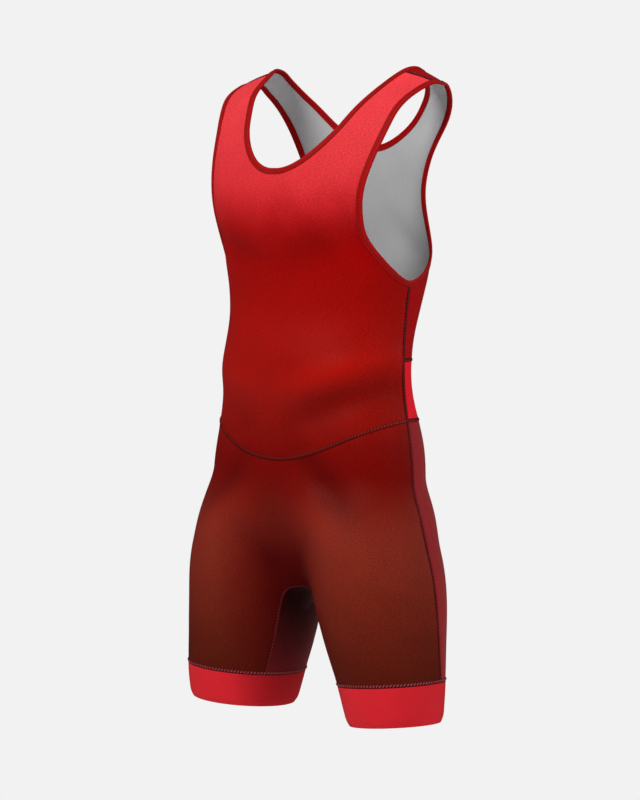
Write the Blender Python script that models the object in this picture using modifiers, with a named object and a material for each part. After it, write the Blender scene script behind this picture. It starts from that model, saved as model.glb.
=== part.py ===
"""Wrestling singlet, worn: one stretch suit with a scooped neck, a racer back and short legs.

The cloth lies on a general figure that has no other form than the garment's own cut asks for:
a torso of superellipse sections and two leg tubes, blended softly where they meet.  Each panel
is a half pattern laid on that figure, mirrored at X = 0 and given its thickness.

Frame: metres, +Z up; the wearer faces -Y and the wearer's left is +X.  The origin is between
the shoulders that hold the garment up, level with the tops of the straps and on the torso's axis.
"""
import bpy
import numpy as np

# Driving dimensions
PANEL_WALL = 0.0015         # thickness of the body cloth
CUFF_WALL = 0.0018          # thickness of the leg band, a doubled cloth
BINDING_WALL = 0.0024       # thickness of the folded tape round the openings
BINDING_WIDTH = 0.008
SEAM_GAP = 0.0003           # space between two pieces that are sewn to each other
SHOULDER_DROP = 0.0050      # the shoulder seam lies this far below the ridge, in front of it
UNDERARM_DROP = 0.266       # lowest point of the armhole
RIB_DROP = 0.305            # a line of facets runs from the underarm to here on the middle line
BACK_WAIST_TOP = 0.365      # upper seam of the back waist panel
WAIST_DROP = 0.440          # where the waist seams meet the side seam
CUFF_DROP = 0.769           # seam of the leg band, where it crosses the leg's axis
HEM_DROPS = {"left": 0.821, "right": 0.814}    # lower ends of the leg bands, likewise
CUFF_TILT = (-0.08, 0.00)    # how fast the band's seams drop outwards and backwards
SIDE_TURN = 102.0           # side seam round the leg at the band, in degrees from the front
INSEAM_TURN = -65.0         # inseam round the leg at the band
TORSO_BLEND = 0.036         # reach of the soft join between the torso and the legs
LEG_BLEND = 0.020           # reach of the soft join between the two legs
DROOP_START = 0.122         # the straps slope down outside this distance from the middle

# How finely the panels are faceted: rows of cells up an edge, columns from middle to side
WAIST_ROWS = 4
RIB_ROWS = 5
ARM_ROWS = 14
NECK_ROWS = 9
SEAT_ROWS = 9
INSEAM_ROWS = 6
CUFF_ROWS = 3
FRONT_COLUMNS = 10
BACK_COLUMNS = 12
FINE = 400                  # samples of a curve while it is worked out
LAST = -1                   # index of the last point of an edge
NARROW = 0.12               # the facets next to a seam on a tight bend are this share of the others

# Sections of the torso, downwards from the ridge of the shoulders.  A section is a superellipse
# about a point "middle" behind the origin: its front half is "front" deep and its back half
# "back".  The droops lower its sides.  The half widths differ only where the armholes are.
TORSO = (
    # name             drop  front_w back_w front  back  middle square  droops
    ("shoulder ridge", 0.000, 0.300, 0.300, 0.000, 0.000, 0.050, 2.20, 1.50, 1.50),
    ("strap top", 0.004, 0.300, 0.280, 0.014, 0.013, 0.050, 2.20, 1.10, 1.45),
    ("strap", 0.015, 0.300, 0.254, 0.033, 0.024, 0.050, 2.30, 0.70, 1.35),
    ("collar bone", 0.037, 0.290, 0.220, 0.064, 0.041, 0.049, 2.30, 0.35, 1.15),
    ("upper chest", 0.070, 0.240, 0.182, 0.091, 0.056, 0.047, 2.25, 0.25, 0.80),
    ("neck point", 0.109, 0.205, 0.154, 0.111, 0.061, 0.042, 2.30, 0.12, 0.40),
    ("chest", 0.154, 0.178, 0.149, 0.121, 0.066, 0.034, 2.40, 0.00, 0.10),
    ("breast", 0.194, 0.162, 0.148, 0.117, 0.077, 0.028, 2.35, 0.00, 0.00),
    ("armhole", 0.232, 0.151, 0.147, 0.101, 0.091, 0.021, 2.30, 0.00, 0.00),
    ("underarm", 0.272, 0.145, 0.145, 0.089, 0.091, 0.015, 2.25, 0.00, 0.00),
    ("ribs", 0.318, 0.142, 0.142, 0.086, 0.075, 0.011, 2.20, 0.00, 0.00),
    ("waist", 0.368, 0.143, 0.143, 0.093, 0.060, 0.006, 2.20, 0.00, 0.00),
    ("belt line", 0.418, 0.148, 0.148, 0.083, 0.064, 0.004, 2.25, 0.00, 0.00),
    ("belly", 0.470, 0.158, 0.158, 0.081, 0.079, 0.003, 2.30, 0.00, 0.00),
    ("hips", 0.525, 0.165, 0.165, 0.080, 0.080, 0.000, 2.30, 0.00, 0.00),
    ("seat", 0.580, 0.150, 0.150, 0.076, 0.082, -0.002, 2.20, 0.00, 0.00),
    ("fork", 0.632, 0.100, 0.100, 0.046, 0.052, -0.002, 2.00, 0.00, 0.00),
    ("under fork", 0.660, 0.040, 0.040, 0.014, 0.018, -0.002, 2.00, 0.00, 0.00),
)
# Sections of the wearer's left leg: an ellipse about (across, back), turned by "turn" degrees
# from +X towards -Y.
LEG = (
    # name         drop   across  back   long   short  turn
    ("leg top", 0.505, 0.090, 0.000, 0.030, 0.030, 0.0),
    ("hip", 0.550, 0.094, -0.004, 0.068, 0.068, 5.0),
    ("thigh", 0.605, 0.102, -0.004, 0.086, 0.083, 15.0),
    ("mid thigh", 0.665, 0.110, -0.001, 0.088, 0.083, 25.0),
    ("above cuff", 0.725, 0.119, 0.000, 0.083, 0.075, 30.0),
    ("cuff seam", 0.770, 0.128, 0.000, 0.077, 0.067, 30.0),
    ("hem", 0.820, 0.135, 0.000, 0.068, 0.059, 30.0),
    ("below hem", 0.870, 0.142, 0.000, 0.062, 0.055, 30.0),
)
# Edges of the openings: distance from the middle line, and drop below the ridge, which is
# negative on the back.  They run from the front over the shoulder to the back.
NECK_EDGE = (
    # name            across  drop
    ("front middle", 0.000, 0.127),
    ("scoop", 0.044, 0.113),
    ("collar", 0.077, 0.079),
    ("collar bone", 0.098, 0.041),
    ("shoulder", 0.115, SHOULDER_DROP),
    ("ridge", 0.121, -0.0005),
    ("neck side", 0.114, -0.022),
    ("back collar", 0.094, -0.050),
    ("back scoop", 0.058, -0.083),
    ("back middle", 0.000, -0.104),
)
ARMHOLE_EDGE = (
    # name            across  drop
    ("front side", 0.135, 0.228),
    ("breast", 0.130, 0.190),
    ("chest", 0.135, 0.148),
    ("upper chest", 0.144, 0.106),
    ("strap front", 0.152, 0.070),
    ("collar bone", 0.163, 0.034),
    ("shoulder", 0.171, SHOULDER_DROP),
    ("ridge", 0.170, -0.0005),
    ("strap back", 0.162, -0.020),
    ("blade", 0.147, -0.056),
    ("racer", 0.123, -0.100),
    ("narrowest", 0.105, -0.150),
    ("back ribs", 0.111, -0.195),
    ("back side", 0.130, -0.236),
)
# Seam between the upper and the lower front panel, from the middle (0) to the side seam (1)
FRONT_WAIST = (
    # name       share   drop
    ("middle", 0.00, 0.491),
    ("flank", 0.25, 0.481),
    ("curve", 0.50, 0.460),
    ("rise", 0.75, 0.446),
    ("side", 1.00, WAIST_DROP),
)
# Seams of the legs, by the turn round the leg in degrees from the front
SIDE_SEAM = (
    # name         drop   turn
    ("thigh", 0.590, 95.0),
    ("mid thigh", 0.660, 97.0),
    ("above cuff", 0.720, 100.0),
)
INSEAM = (
    # name           drop   turn
    ("under fork", 0.670, -68.0),
    ("inner thigh", 0.720, -66.0),
)
HIP_STEP = 0.060         # space between the last point of the side seam on the torso and the leg
FORK_TOP_DROP = 0.610    # last point of the middle lines that is guessed on the torso
RELAX_ROUNDS = 30
FORK = (0.0, -0.034, -0.662)    # where the inseams meet, before it is moved onto the figure


def numbers(table):
    """Return the numbers of a table, without the names of its rows."""
    return np.array([row[1:] for row in table], dtype=float)


def spline(values):
    """Return a smooth curve that passes values[i] at i: a natural cubic spline."""
    values = np.asarray(values, dtype=float)
    count = len(values)
    system = 4.0 * np.eye(count) + np.eye(count, k=1) + np.eye(count, k=-1)
    system[0] = np.eye(count)[0]
    system[-1] = np.eye(count)[-1]
    pull = np.zeros_like(values)
    pull[1:-1] = 6.0 * (values[:-2] - 2.0 * values[1:-1] + values[2:])
    bend = np.linalg.solve(system, pull)

    def curve(place):
        place = np.clip(place, 0.0, count - 1.0)
        first = np.minimum(place.astype(int), count - 2)
        after = (place - first)[..., None]
        before = 1.0 - after
        straight = before * values[first] + after * values[first + 1]
        curved = (before ** 3 - before) * bend[first] + (after ** 3 - after) * bend[first + 1]
        return straight + curved / 6.0

    return curve


def torso_sections():
    """Return the torso's sections as one curve from the back, over the ridge, to the front."""
    columns = numbers(TORSO).T
    drop, front_width, back_width, front, back, middle, square, front_droop, back_droop = columns
    ahead = np.stack([drop, front_width, front, middle, square, front_droop], axis=1)
    behind = np.stack([drop, back_width, -back, middle, square, back_droop], axis=1)
    return spline(np.vstack([behind[:0:-1], ahead]))


LAST_ROW = len(TORSO) - 1
SECTION_AT = torso_sections()
ROWS = np.linspace(0.0, LAST_ROW, 40 * LAST_ROW + 1)
FRONT_SECTIONS = SECTION_AT(LAST_ROW + ROWS)
BACK_SECTIONS = SECTION_AT(LAST_ROW - ROWS)
DROPS = FRONT_SECTIONS[:, 0]


def row_at(drop):
    """Return the row of a section from its drop; both are negative on the back."""
    return np.sign(drop) * np.interp(np.abs(drop), DROPS, ROWS)


def torso_point(row, turn):
    """Return the points of the torso at a row and a turn from the front or back to the side.

    The point is middle + (half_width sin t, depth cos t) / (sin^n t + cos^n t)^(1/n), at a
    height of -drop, less droop times how far the square of its distance from the middle line
    is past that of the strap's inner end.
    """
    section = SECTION_AT(LAST_ROW + np.asarray(row, dtype=float))
    drop, half_width, depth, middle, square, droop = np.moveaxis(section, -1, 0)
    side = np.abs(np.sin(turn))
    ahead = np.abs(np.cos(turn))
    size = (side ** square + ahead ** square) ** (1.0 / square)
    across = half_width * np.sin(turn) / size
    back = middle - depth * np.cos(turn) / size
    up = droop * (DROOP_START ** 2 - across ** 2) - drop
    return np.stack([across, back, up], axis=-1)


def turn_at(row, across):
    """Return the turn at which a torso section is "across" from the middle line."""
    section = SECTION_AT(LAST_ROW + np.asarray(row, dtype=float))
    share = np.clip(across / section[..., 1], 0.0, 1.0)
    square = section[..., 4]
    return np.arctan2(share, (1.0 - share ** square) ** (1.0 / square))


def leg_sections(drop):
    """Return the columns of LEG at a drop, read from a smooth curve."""
    places = np.linspace(0.0, len(LEG) - 1.0, FINE)
    rows = spline(numbers(LEG))(places)
    return [np.interp(drop, rows[:, 0], rows[:, column]) for column in range(1, 6)]


def leg_point(drop, turn):
    """Return the points of the left leg's tube at a drop and a turn from the front."""
    across, back, long_axis, short_axis, tilt = leg_sections(drop)
    angle = np.radians(turn)
    along = np.sin(angle + np.radians(tilt))
    other = np.cos(angle + np.radians(tilt))
    reach = 1.0 / np.sqrt((along / long_axis) ** 2 + (other / short_axis) ** 2)
    x = across + reach * np.sin(angle)
    y = back - reach * np.cos(angle)
    return np.stack([x, y, -np.asarray(drop) * np.ones_like(x)], axis=-1)


def torso_field(x, y, z):
    """Return a value that is 0 on the torso, below 0 inside it and grows outwards."""
    drop = -z
    front = [np.interp(drop, DROPS, FRONT_SECTIONS[:, column]) for column in range(1, 5)]
    half_width, ahead, middle, square = front
    behind = -np.interp(drop, DROPS, BACK_SECTIONS[:, 2])
    depth = np.where(y < middle, ahead, behind)
    size = (np.abs(x / half_width) ** square + np.abs((y - middle) / depth) ** square) ** (1.0 / square)
    return (size - 1.0) * np.minimum(half_width, depth) + np.maximum(drop - DROPS[-1], 0.0)


def leg_field(x, y, z):
    """Return a value that is 0 on the left leg's tube, below 0 inside and grows outwards."""
    across, back, long_axis, short_axis, tilt = leg_sections(-z)
    cosine = np.cos(np.radians(tilt))
    sine = np.sin(np.radians(tilt))
    along = (x - across) * cosine - (y - back) * sine
    other = (x - across) * sine + (y - back) * cosine
    size = np.sqrt((along / long_axis) ** 2 + (other / short_axis) ** 2)
    return (size - 1.0) * short_axis + np.maximum(z + LEG[0][1], 0.0)


def soft_minimum(first, second, reach):
    """Return the smaller of two values, rounded off where they differ by less than reach."""
    share = np.clip(0.5 + 0.5 * (second - first) / reach, 0.0, 1.0)
    return second + (first - second) * share - reach * share * (1.0 - share)


def figure_field(points):
    """Return a value that is 0 on the figure: the torso and both legs in one skin."""
    x, y, z = np.moveaxis(points, -1, 0)
    legs = soft_minimum(leg_field(x, y, z), leg_field(-x, y, z), LEG_BLEND)
    return soft_minimum(torso_field(x, y, z), legs, TORSO_BLEND)


def figure_slope(points, step=0.0005):
    """Return the gradient of figure_field by central differences."""
    parts = []
    for axis in range(3):
        shift = np.zeros(3)
        shift[axis] = step
        parts.append(figure_field(points + shift) - figure_field(points - shift))
    return np.stack(parts, axis=-1) / (2.0 * step)


def onto_figure(points, rounds=8):
    """Move points onto the figure, along its slope."""
    for _ in range(rounds):
        slope = figure_slope(points)
        squared = np.sum(slope ** 2, axis=-1, keepdims=True)
        points = points - figure_field(points)[..., None] * slope / squared
    return points


def lengths(points):
    """Return the distance along a polyline at each of its points."""
    steps = np.linalg.norm(np.diff(points, axis=0), axis=1)
    return np.concatenate([[0.0], np.cumsum(steps)])


def spread(points, cells, to_shoulder=False):
    """Return the places along a polyline, in its own indices, of evenly spaced points.

    A narrow cell is split off at the end of a line that runs to the shoulder seam.
    """
    along = lengths(points)
    shares = np.linspace(0.0, 1.0, cells + 1)
    if to_shoulder:
        shares = np.insert(shares, cells, 1.0 - NARROW / cells)
    return np.interp(shares * along[-1], along, np.arange(len(points)))


def pick(values, places):
    """Return values at places between their indices."""
    index = np.arange(len(values))
    return np.stack([np.interp(places, index, column) for column in values.T], axis=-1)


def unit(vectors):
    """Return vectors with a length of 1."""
    return vectors / np.linalg.norm(vectors, axis=-1, keepdims=True)


def opening_edge(table, at_side):
    """Return the edge of an opening as two fine lines of (row, turn): its front and its back.

    The neck's line is symmetric where it meets the middle line, the armhole's where it meets
    the side seam.
    """
    across, drop = numbers(table).T
    rows = row_at(drop)
    line = np.stack([rows, turn_at(rows, across)], axis=1)
    if at_side:
        bottom = row_at(UNDERARM_DROP)
        half_turn = np.array([0.0, np.pi])
        line = np.vstack([[bottom, np.pi / 2], line, [-bottom, np.pi / 2]])
        before = half_turn + line[1] * [1, -1]
        after = half_turn + line[-2] * [1, -1]
    else:
        before = line[1] * [1, -1]
        after = line[-2] * [1, -1]
    curve = spline(np.vstack([before, line, after]))
    shoulder = [row[0] for row in table].index("shoulder") + 1 + at_side
    front = curve(np.linspace(1.0, shoulder, FINE))
    back = curve(np.linspace(shoulder, len(line), FINE))
    return front, back


def moved_inwards(edge, width, side):
    """Return a line of (row, turn) that lies "width" inside the cloth from an opening's edge.

    Seen from outside, the cloth lies to the right of the edge where side is 1, and to its left
    where side is -1.
    """
    step = 0.001
    halves = 2
    line = edge.copy()
    for _ in range(halves):
        row, turn = line.T
        by_row = (torso_point(row + step, turn) - torso_point(row - step, turn)) / (2.0 * step)
        by_turn = (torso_point(row, turn + step) - torso_point(row, turn - step)) / (2.0 * step)
        along = unit(np.gradient(torso_point(row, turn), axis=0))
        inwards = side * unit(np.cross(along, unit(np.cross(by_row, by_turn))))
        rows_squared = np.sum(by_row * by_row, axis=1)
        crossed = np.sum(by_row * by_turn, axis=1)
        turns_squared = np.sum(by_turn * by_turn, axis=1)
        on_row = np.sum(by_row * inwards, axis=1)
        on_turn = np.sum(by_turn * inwards, axis=1)
        whole = rows_squared * turns_squared - crossed ** 2
        row_move = (on_row * turns_squared - on_turn * crossed) / whole
        turn_move = (on_turn * rows_squared - on_row * crossed) / whole
        line = line + width / halves * np.stack([row_move, turn_move], axis=1)
    return line


def opening(table, at_side):
    """Return an opening's edge and the inner edge of its binding, as fine lines of (row, turn).

    Sample FINE - 1 of each line lies on the shoulder seam.
    """
    front, back = opening_edge(table, at_side)
    edge = np.vstack([front, back[1:]])
    inner = moved_inwards(edge, BINDING_WIDTH, -1.0 if at_side else 1.0)
    end_turn = np.pi / 2 if at_side else 0.0
    inner[[0, -1], 1] = end_turn
    return edge, inner


def coons(bottom, top, inner, outer):
    """Fill a patch from its four edges: both ruled surfaces less the flat one of its corners."""
    right = np.linspace(0.0, 1.0, len(bottom))[None, :, None]
    high = np.linspace(0.0, 1.0, len(inner))[:, None, None]
    level = (1.0 - right) * inner[:, None] + right * outer[:, None]
    upright = (1.0 - high) * bottom[None] + high * top[None]
    low_corners = (1.0 - right) * bottom[0] + right * bottom[-1]
    high_corners = (1.0 - right) * top[0] + right * top[-1]
    return level + upright - (1.0 - high) * low_corners - high * high_corners


def joined(*lines):
    """Join lines end to end, keeping each shared point once."""
    return np.vstack([lines[0]] + [line[1:] for line in lines[1:]])


def evenly(line, cells, to_shoulder=False):
    """Return points of a fine line of (row, turn), evenly spaced on the torso."""
    return pick(line, spread(torso_point(*line.T), cells, to_shoulder))


def straight(start, end, cells):
    """Return evenly spaced points between two (row, turn) places."""
    return np.linspace(start, end, cells + 1)


def front_waist_line(cells):
    """Return the front waist seam, from the middle to the side seam, as (row, turn)."""
    share, drop = numbers(FRONT_WAIST).T
    line = np.stack([row_at(drop), share * np.pi / 2], axis=1)
    curve = spline(np.vstack([line[1] * [1, -1], line]))
    return evenly(curve(np.linspace(1.0, len(line), FINE)), cells)


def upper_panels():
    """Return the half grids of the three panels above the waist, and of both bindings."""
    neck_edge, neck_inner = opening(NECK_EDGE, False)
    arm_edge, arm_inner = opening(ARMHOLE_EDGE, True)
    ends = slice(0, FINE)
    backs = slice(FINE - 1, None)
    waist_row = row_at(WAIST_DROP)
    band_row = row_at(BACK_WAIST_TOP)
    rib_row = row_at(RIB_DROP)
    side = np.pi / 2

    outer = joined(
        straight((waist_row, side), (band_row, side), WAIST_ROWS),
        straight((band_row, side), arm_inner[0], RIB_ROWS),
        evenly(arm_inner[ends], ARM_ROWS, to_shoulder=True),
    )
    bottom = front_waist_line(FRONT_COLUMNS)
    inner = joined(
        straight(bottom[0], (rib_row, 0.0), WAIST_ROWS + RIB_ROWS),
        straight((rib_row, 0.0), neck_inner[0], ARM_ROWS - NECK_ROWS),
        evenly(neck_inner[ends], NECK_ROWS, to_shoulder=True),
    )
    top = straight(inner[-1], outer[-1], FRONT_COLUMNS)
    front = torso_point(*np.moveaxis(coons(bottom, top, inner, outer), -1, 0))

    outer = joined(
        straight((-band_row, side), arm_inner[-1], RIB_ROWS),
        evenly(arm_inner[backs][::-1], ARM_ROWS, to_shoulder=True),
    )
    bottom = evenly(straight((-band_row, 0.0), (-band_row, side), FINE), BACK_COLUMNS)
    inner = joined(
        straight(bottom[0], (-rib_row, 0.0), RIB_ROWS),
        straight((-rib_row, 0.0), neck_inner[-1], ARM_ROWS - NECK_ROWS),
        evenly(neck_inner[backs][::-1], NECK_ROWS, to_shoulder=True),
    )
    top = straight(inner[-1], outer[-1], BACK_COLUMNS)
    back = torso_point(*np.moveaxis(coons(bottom, top, inner, outer), -1, 0))

    outer = straight((-waist_row, side), (-band_row, side), WAIST_ROWS)
    inner = straight((-waist_row, 0.0), (-band_row, 0.0), WAIST_ROWS)
    low = evenly(straight((-waist_row, 0.0), (-waist_row, side), FINE), BACK_COLUMNS)
    band = torso_point(*np.moveaxis(coons(low, bottom, inner, outer), -1, 0))

    neck = binding_grid(neck_edge, neck_inner, NECK_ROWS)
    armhole = binding_grid(arm_edge, arm_inner, ARM_ROWS)
    return front, back, band, neck, armhole


def binding_grid(edge, inner, rows):
    """Return the grid of a binding: its rows run from the front, over the shoulder, to the back."""
    on_torso = torso_point(*inner.T)
    last = FINE - 1
    before = spread(on_torso[:FINE], rows, to_shoulder=True)
    after = 2 * last - spread(on_torso[:last - 1:-1], rows, to_shoulder=True)[::-1]
    places = np.concatenate([before, after[1:]])
    lines = np.stack([pick(inner, places), pick(edge, places)], axis=1)
    return torso_point(*np.moveaxis(lines, -1, 0))


def band_ring(drop, turns):
    """Return the points of a seam round the leg at the given turns, in a slightly tilted plane."""
    centre = leg_point(drop, np.array([0.0, 180.0])).mean(axis=0)
    points = leg_point(drop, turns)
    for _ in range(6):
        tilted = drop + (points - centre)[:, :2] @ np.array(CUFF_TILT)
        points = leg_point(tilted, turns)
    return points


def seam_turns():
    """Return the turns of the leg's points: those of the front panel, then of the back panel."""
    front = np.linspace(INSEAM_TURN, SIDE_TURN, FRONT_COLUMNS + 1)
    back = np.linspace(SIDE_TURN, INSEAM_TURN + 360.0, BACK_COLUMNS + 1)
    return front, back


def on_figure_line(points, cells):
    """Return evenly spaced points of a smooth line through points, moved onto the figure."""
    curve = spline(np.asarray(points))
    fine = onto_figure(curve(np.linspace(0.0, len(points) - 1.0, FINE)))
    return onto_figure(pick(fine, spread(fine, cells)))


def relaxed(grid, rounds):
    """Even out the inside of a grid: each point goes to the mean of its four neighbours."""
    for _ in range(rounds):
        inside = grid[:-2, 1:-1] + grid[2:, 1:-1] + grid[1:-1, :-2] + grid[1:-1, 2:]
        grid[1:-1, 1:-1] = onto_figure(inside / 4.0, 2)
    return grid


def beside_inseam(grid):
    """Split a narrow column of cells off the one along the inseam and the middle line."""
    column = (1.0 - NARROW) * grid[:, 0] + NARROW * grid[:, 1]
    column[1:-1] = onto_figure(column[1:-1])
    return np.insert(grid, 1, column, axis=1)


def lower_panels(front_top, back_top):
    """Return the half grids of the lower front and back panels, from their waist seams."""
    front_turns, back_turns = seam_turns()
    front_cuff = band_ring(CUFF_DROP, front_turns)
    back_cuff = band_ring(CUFF_DROP, back_turns)
    rows = SEAT_ROWS + INSEAM_ROWS

    drops, turns = numbers(INSEAM).T
    inseam = on_figure_line(np.vstack([FORK, leg_point(drops, turns), front_cuff[0]]), INSEAM_ROWS)
    inseam[0, 0] = 0.0
    fork = inseam[0]
    drops, turns = numbers(SIDE_SEAM).T
    hip_drops = np.linspace(WAIST_DROP, SIDE_SEAM[0][1] - HIP_STEP, 3)
    hip = torso_point(row_at(hip_drops), np.full(3, np.pi / 2))
    side = on_figure_line(np.vstack([hip, leg_point(drops, turns), front_cuff[-1]]), rows)

    belly_drops = np.linspace(-front_top[0, 2], FORK_TOP_DROP, 4)
    belly = torso_point(row_at(belly_drops), np.zeros(4))
    middle = on_figure_line(np.vstack([belly, fork]), SEAT_ROWS)
    middle[:, 0] = 0.0
    inner = joined(inseam[::-1], middle[::-1])
    front = coons(front_cuff, front_top, inner, side[::-1])
    front = beside_inseam(relaxed(onto_figure(front), RELAX_ROUNDS))

    seat_drops = np.linspace(-back_top[0, 2], FORK_TOP_DROP, 4)
    seat = torso_point(-row_at(seat_drops), np.zeros(4))
    middle = on_figure_line(np.vstack([seat, fork]), SEAT_ROWS)
    middle[:, 0] = 0.0
    inner = joined(inseam[::-1], middle[::-1])
    back = coons(back_cuff[::-1], back_top, inner, side[::-1])
    back = beside_inseam(relaxed(onto_figure(back), RELAX_ROUNDS))
    return front, back


def trimmed(grid, stretches, closed=False):
    """Move stretches of a grid's edges half a seam gap inwards, and keep the middle line in place.

    A stretch is (edge, first, last) with the edge's name and the indices of its ends; the last
    may be LAST, the end of the edge.
    """
    result = grid.copy()
    edges = {
        "bottom": (grid[0], grid[1], result[0]),
        "top": (grid[-1], grid[-2], result[-1]),
        "inner": (grid[:, 0], grid[:, 1], result[:, 0]),
        "outer": (grid[:, -1], grid[:, -2], result[:, -1]),
    }
    for name, first, last in stretches:
        stretch = slice(first, None if last == LAST else last + 1)
        line, inside, moved = (edge[stretch] for edge in edges[name])
        if closed:
            along = unit(np.roll(line, -1, axis=0) - np.roll(line, 1, axis=0))
        else:
            along = unit(np.gradient(line, axis=0))
        inwards = inside - line
        inwards -= np.sum(inwards * along, axis=1, keepdims=True) * along
        moved += 0.5 * SEAM_GAP * unit(inwards)
    on_middle = np.abs(grid[..., 0]) < 1e-9
    result[on_middle, 0] = 0.0
    return result


def material(name, colour, roughness):
    """Return a plain cloth material of one colour."""
    made = bpy.data.materials.new(name)
    made.use_nodes = True
    shader = made.node_tree.nodes["Principled BSDF"]
    shader.inputs["Base Color"].default_value = (*colour, 1.0)
    shader.inputs["Roughness"].default_value = roughness
    shader.inputs["Metallic"].default_value = 0.0
    return made


def add_cloth(name, grid, wall, finish, facing=1, halves=False, round_rows=False, round_columns=False):
    """Add one piece of cloth: an open surface through a grid, with a wall on both sides of it.

    The grid's rows run upwards and its columns to the wearer's left where facing is 1, and to
    the wearer's right where it is -1, seen from outside.
    """
    rows, columns = grid.shape[:2]
    indices = np.arange(rows * columns).reshape(rows, columns)
    if round_rows:
        indices = np.vstack([indices, indices[:1]])
    if round_columns:
        indices = np.hstack([indices, indices[:, :1]])
    corners = [indices[:-1, :-1], indices[:-1, 1:], indices[1:, 1:], indices[1:, :-1]]
    faces = np.stack(corners[::facing], axis=-1).reshape(-1, 4)
    mesh = bpy.data.meshes.new(name)
    mesh.from_pydata(grid.reshape(-1, 3).tolist(), [], faces.tolist())
    mesh.materials.append(finish)
    mesh.shade_smooth()
    piece = bpy.data.objects.new(name, mesh)
    COLLECTION.objects.link(piece)
    if halves:
        mirror = piece.modifiers.new("Left and right halves", "MIRROR")
        mirror.merge_threshold = 0.00005
    shell = piece.modifiers.new("Wall", "SOLIDIFY")
    shell.thickness = wall
    shell.offset = 0.0
    return piece


def mirrored(grid):
    """Return a grid on the wearer's right."""
    return grid * np.array([-1.0, 1.0, 1.0])


def build_panels(finishes):
    """Add the five body panels and the neck and armhole bindings."""
    front, back, band, neck, armhole = upper_panels()
    front_low, back_low = lower_panels(front[0], band[0])
    ends = [("bottom", 0, LAST), ("top", 0, LAST)]
    neck_side = [("inner", -2 - NECK_ROWS, LAST)]
    underarm = WAIST_ROWS + RIB_ROWS
    grid = trimmed(front, ends + neck_side + [("outer", 0, underarm), ("outer", underarm, LAST)])
    add_cloth("front_upper", grid, PANEL_WALL, finishes["front"], halves=True)
    grid = trimmed(back, ends + neck_side + [("outer", 0, RIB_ROWS), ("outer", RIB_ROWS, LAST)])
    add_cloth("back_upper", grid, PANEL_WALL, finishes["back"], facing=-1, halves=True)
    grid = trimmed(band, ends + [("outer", 0, LAST)])
    add_cloth("back_waist", grid, PANEL_WALL, finishes["waist"], facing=-1, halves=True)
    legs = ends + [("outer", 0, LAST), ("inner", 0, INSEAM_ROWS)]
    add_cloth("front_lower", trimmed(front_low, legs), PANEL_WALL, finishes["front"], halves=True)
    grid = trimmed(back_low, legs)
    add_cloth("back_lower", grid, PANEL_WALL, finishes["seat"], facing=-1, halves=True)

    grid = trimmed(neck, [("inner", 0, LAST)])
    add_cloth("neck_binding", grid, BINDING_WALL, finishes["binding"], facing=-1, halves=True)
    ring = trimmed(armhole[:-1], [("inner", 0, LAST)], closed=True)
    for name, grid, facing in (("left", ring, 1), ("right", mirrored(ring), -1)):
        piece = "armhole_binding_" + name
        add_cloth(piece, grid, BINDING_WALL, finishes["binding"], facing=facing, round_rows=True)


def build_cuffs(finishes):
    """Add the band at the end of each leg."""
    turns = joined(*(panel[:, None] for panel in seam_turns()))[:-1, 0]
    for side, hem_drop in HEM_DROPS.items():
        drops = np.linspace(hem_drop, CUFF_DROP, CUFF_ROWS + 1)
        rings = onto_figure(np.stack([band_ring(drop, turns) for drop in drops]))
        rings = trimmed(rings, [("top", 0, LAST)], closed=True)
        facing = 1
        if side == "right":
            rings = mirrored(rings)
            facing = -1
        piece = "cuff_" + side
        add_cloth(piece, rings, CUFF_WALL, finishes["cuff"], facing=facing, round_columns=True)


def clear_scene():
    """Remove the objects that are in the file."""
    for thing in list(bpy.data.objects):
        bpy.data.objects.remove(thing, do_unlink=True)


def main():
    """Build the singlet."""
    clear_scene()
    bpy.context.scene.collection.children.link(COLLECTION)
    finishes = {
        "front": material("front_print", (0.40, 0.012, 0.010), 0.62),
        "back": material("back_red", (0.27, 0.004, 0.006), 0.62),
        "waist": material("waist_red", (0.55, 0.006, 0.018), 0.60),
        "seat": material("seat_burgundy", (0.16, 0.012, 0.014), 0.64),
        "cuff": material("cuff_red", (0.46, 0.010, 0.018), 0.60),
        "binding": material("binding_red", (0.30, 0.006, 0.006), 0.66),
    }
    build_panels(finishes)
    build_cuffs(finishes)


COLLECTION = bpy.data.collections.new("wrestling_singlet")
if __name__ == "__main__":
    main()
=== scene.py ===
# %% [markdown]
# # A wrestling singlet, filled out as worn
#
# The garment is cut from a few panels of stretch knit: a printed front in two pieces, a racer
# back with a waist panel, short legs with doubled bands, and folded tape round the neck and
# the armholes.  The frame holds a plain solid for each of them.  Here each solid is replaced
# by a thin sheet of cloth on the same form, with its creases, seams, stitches and print.

import bmesh
import bpy
import numpy as np
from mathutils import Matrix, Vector


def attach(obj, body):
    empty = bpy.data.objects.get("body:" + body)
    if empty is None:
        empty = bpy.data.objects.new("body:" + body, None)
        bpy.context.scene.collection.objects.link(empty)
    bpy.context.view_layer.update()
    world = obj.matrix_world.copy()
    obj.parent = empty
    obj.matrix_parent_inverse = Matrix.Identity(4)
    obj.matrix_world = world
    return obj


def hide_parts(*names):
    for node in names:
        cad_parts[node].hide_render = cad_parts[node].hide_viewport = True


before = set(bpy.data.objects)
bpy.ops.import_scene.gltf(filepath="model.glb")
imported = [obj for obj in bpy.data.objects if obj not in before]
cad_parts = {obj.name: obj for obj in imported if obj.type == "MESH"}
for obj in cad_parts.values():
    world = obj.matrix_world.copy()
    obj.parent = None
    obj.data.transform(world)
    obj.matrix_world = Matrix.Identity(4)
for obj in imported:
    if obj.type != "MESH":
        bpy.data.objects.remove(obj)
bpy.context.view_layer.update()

print("nodes:", sorted(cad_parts))

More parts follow.
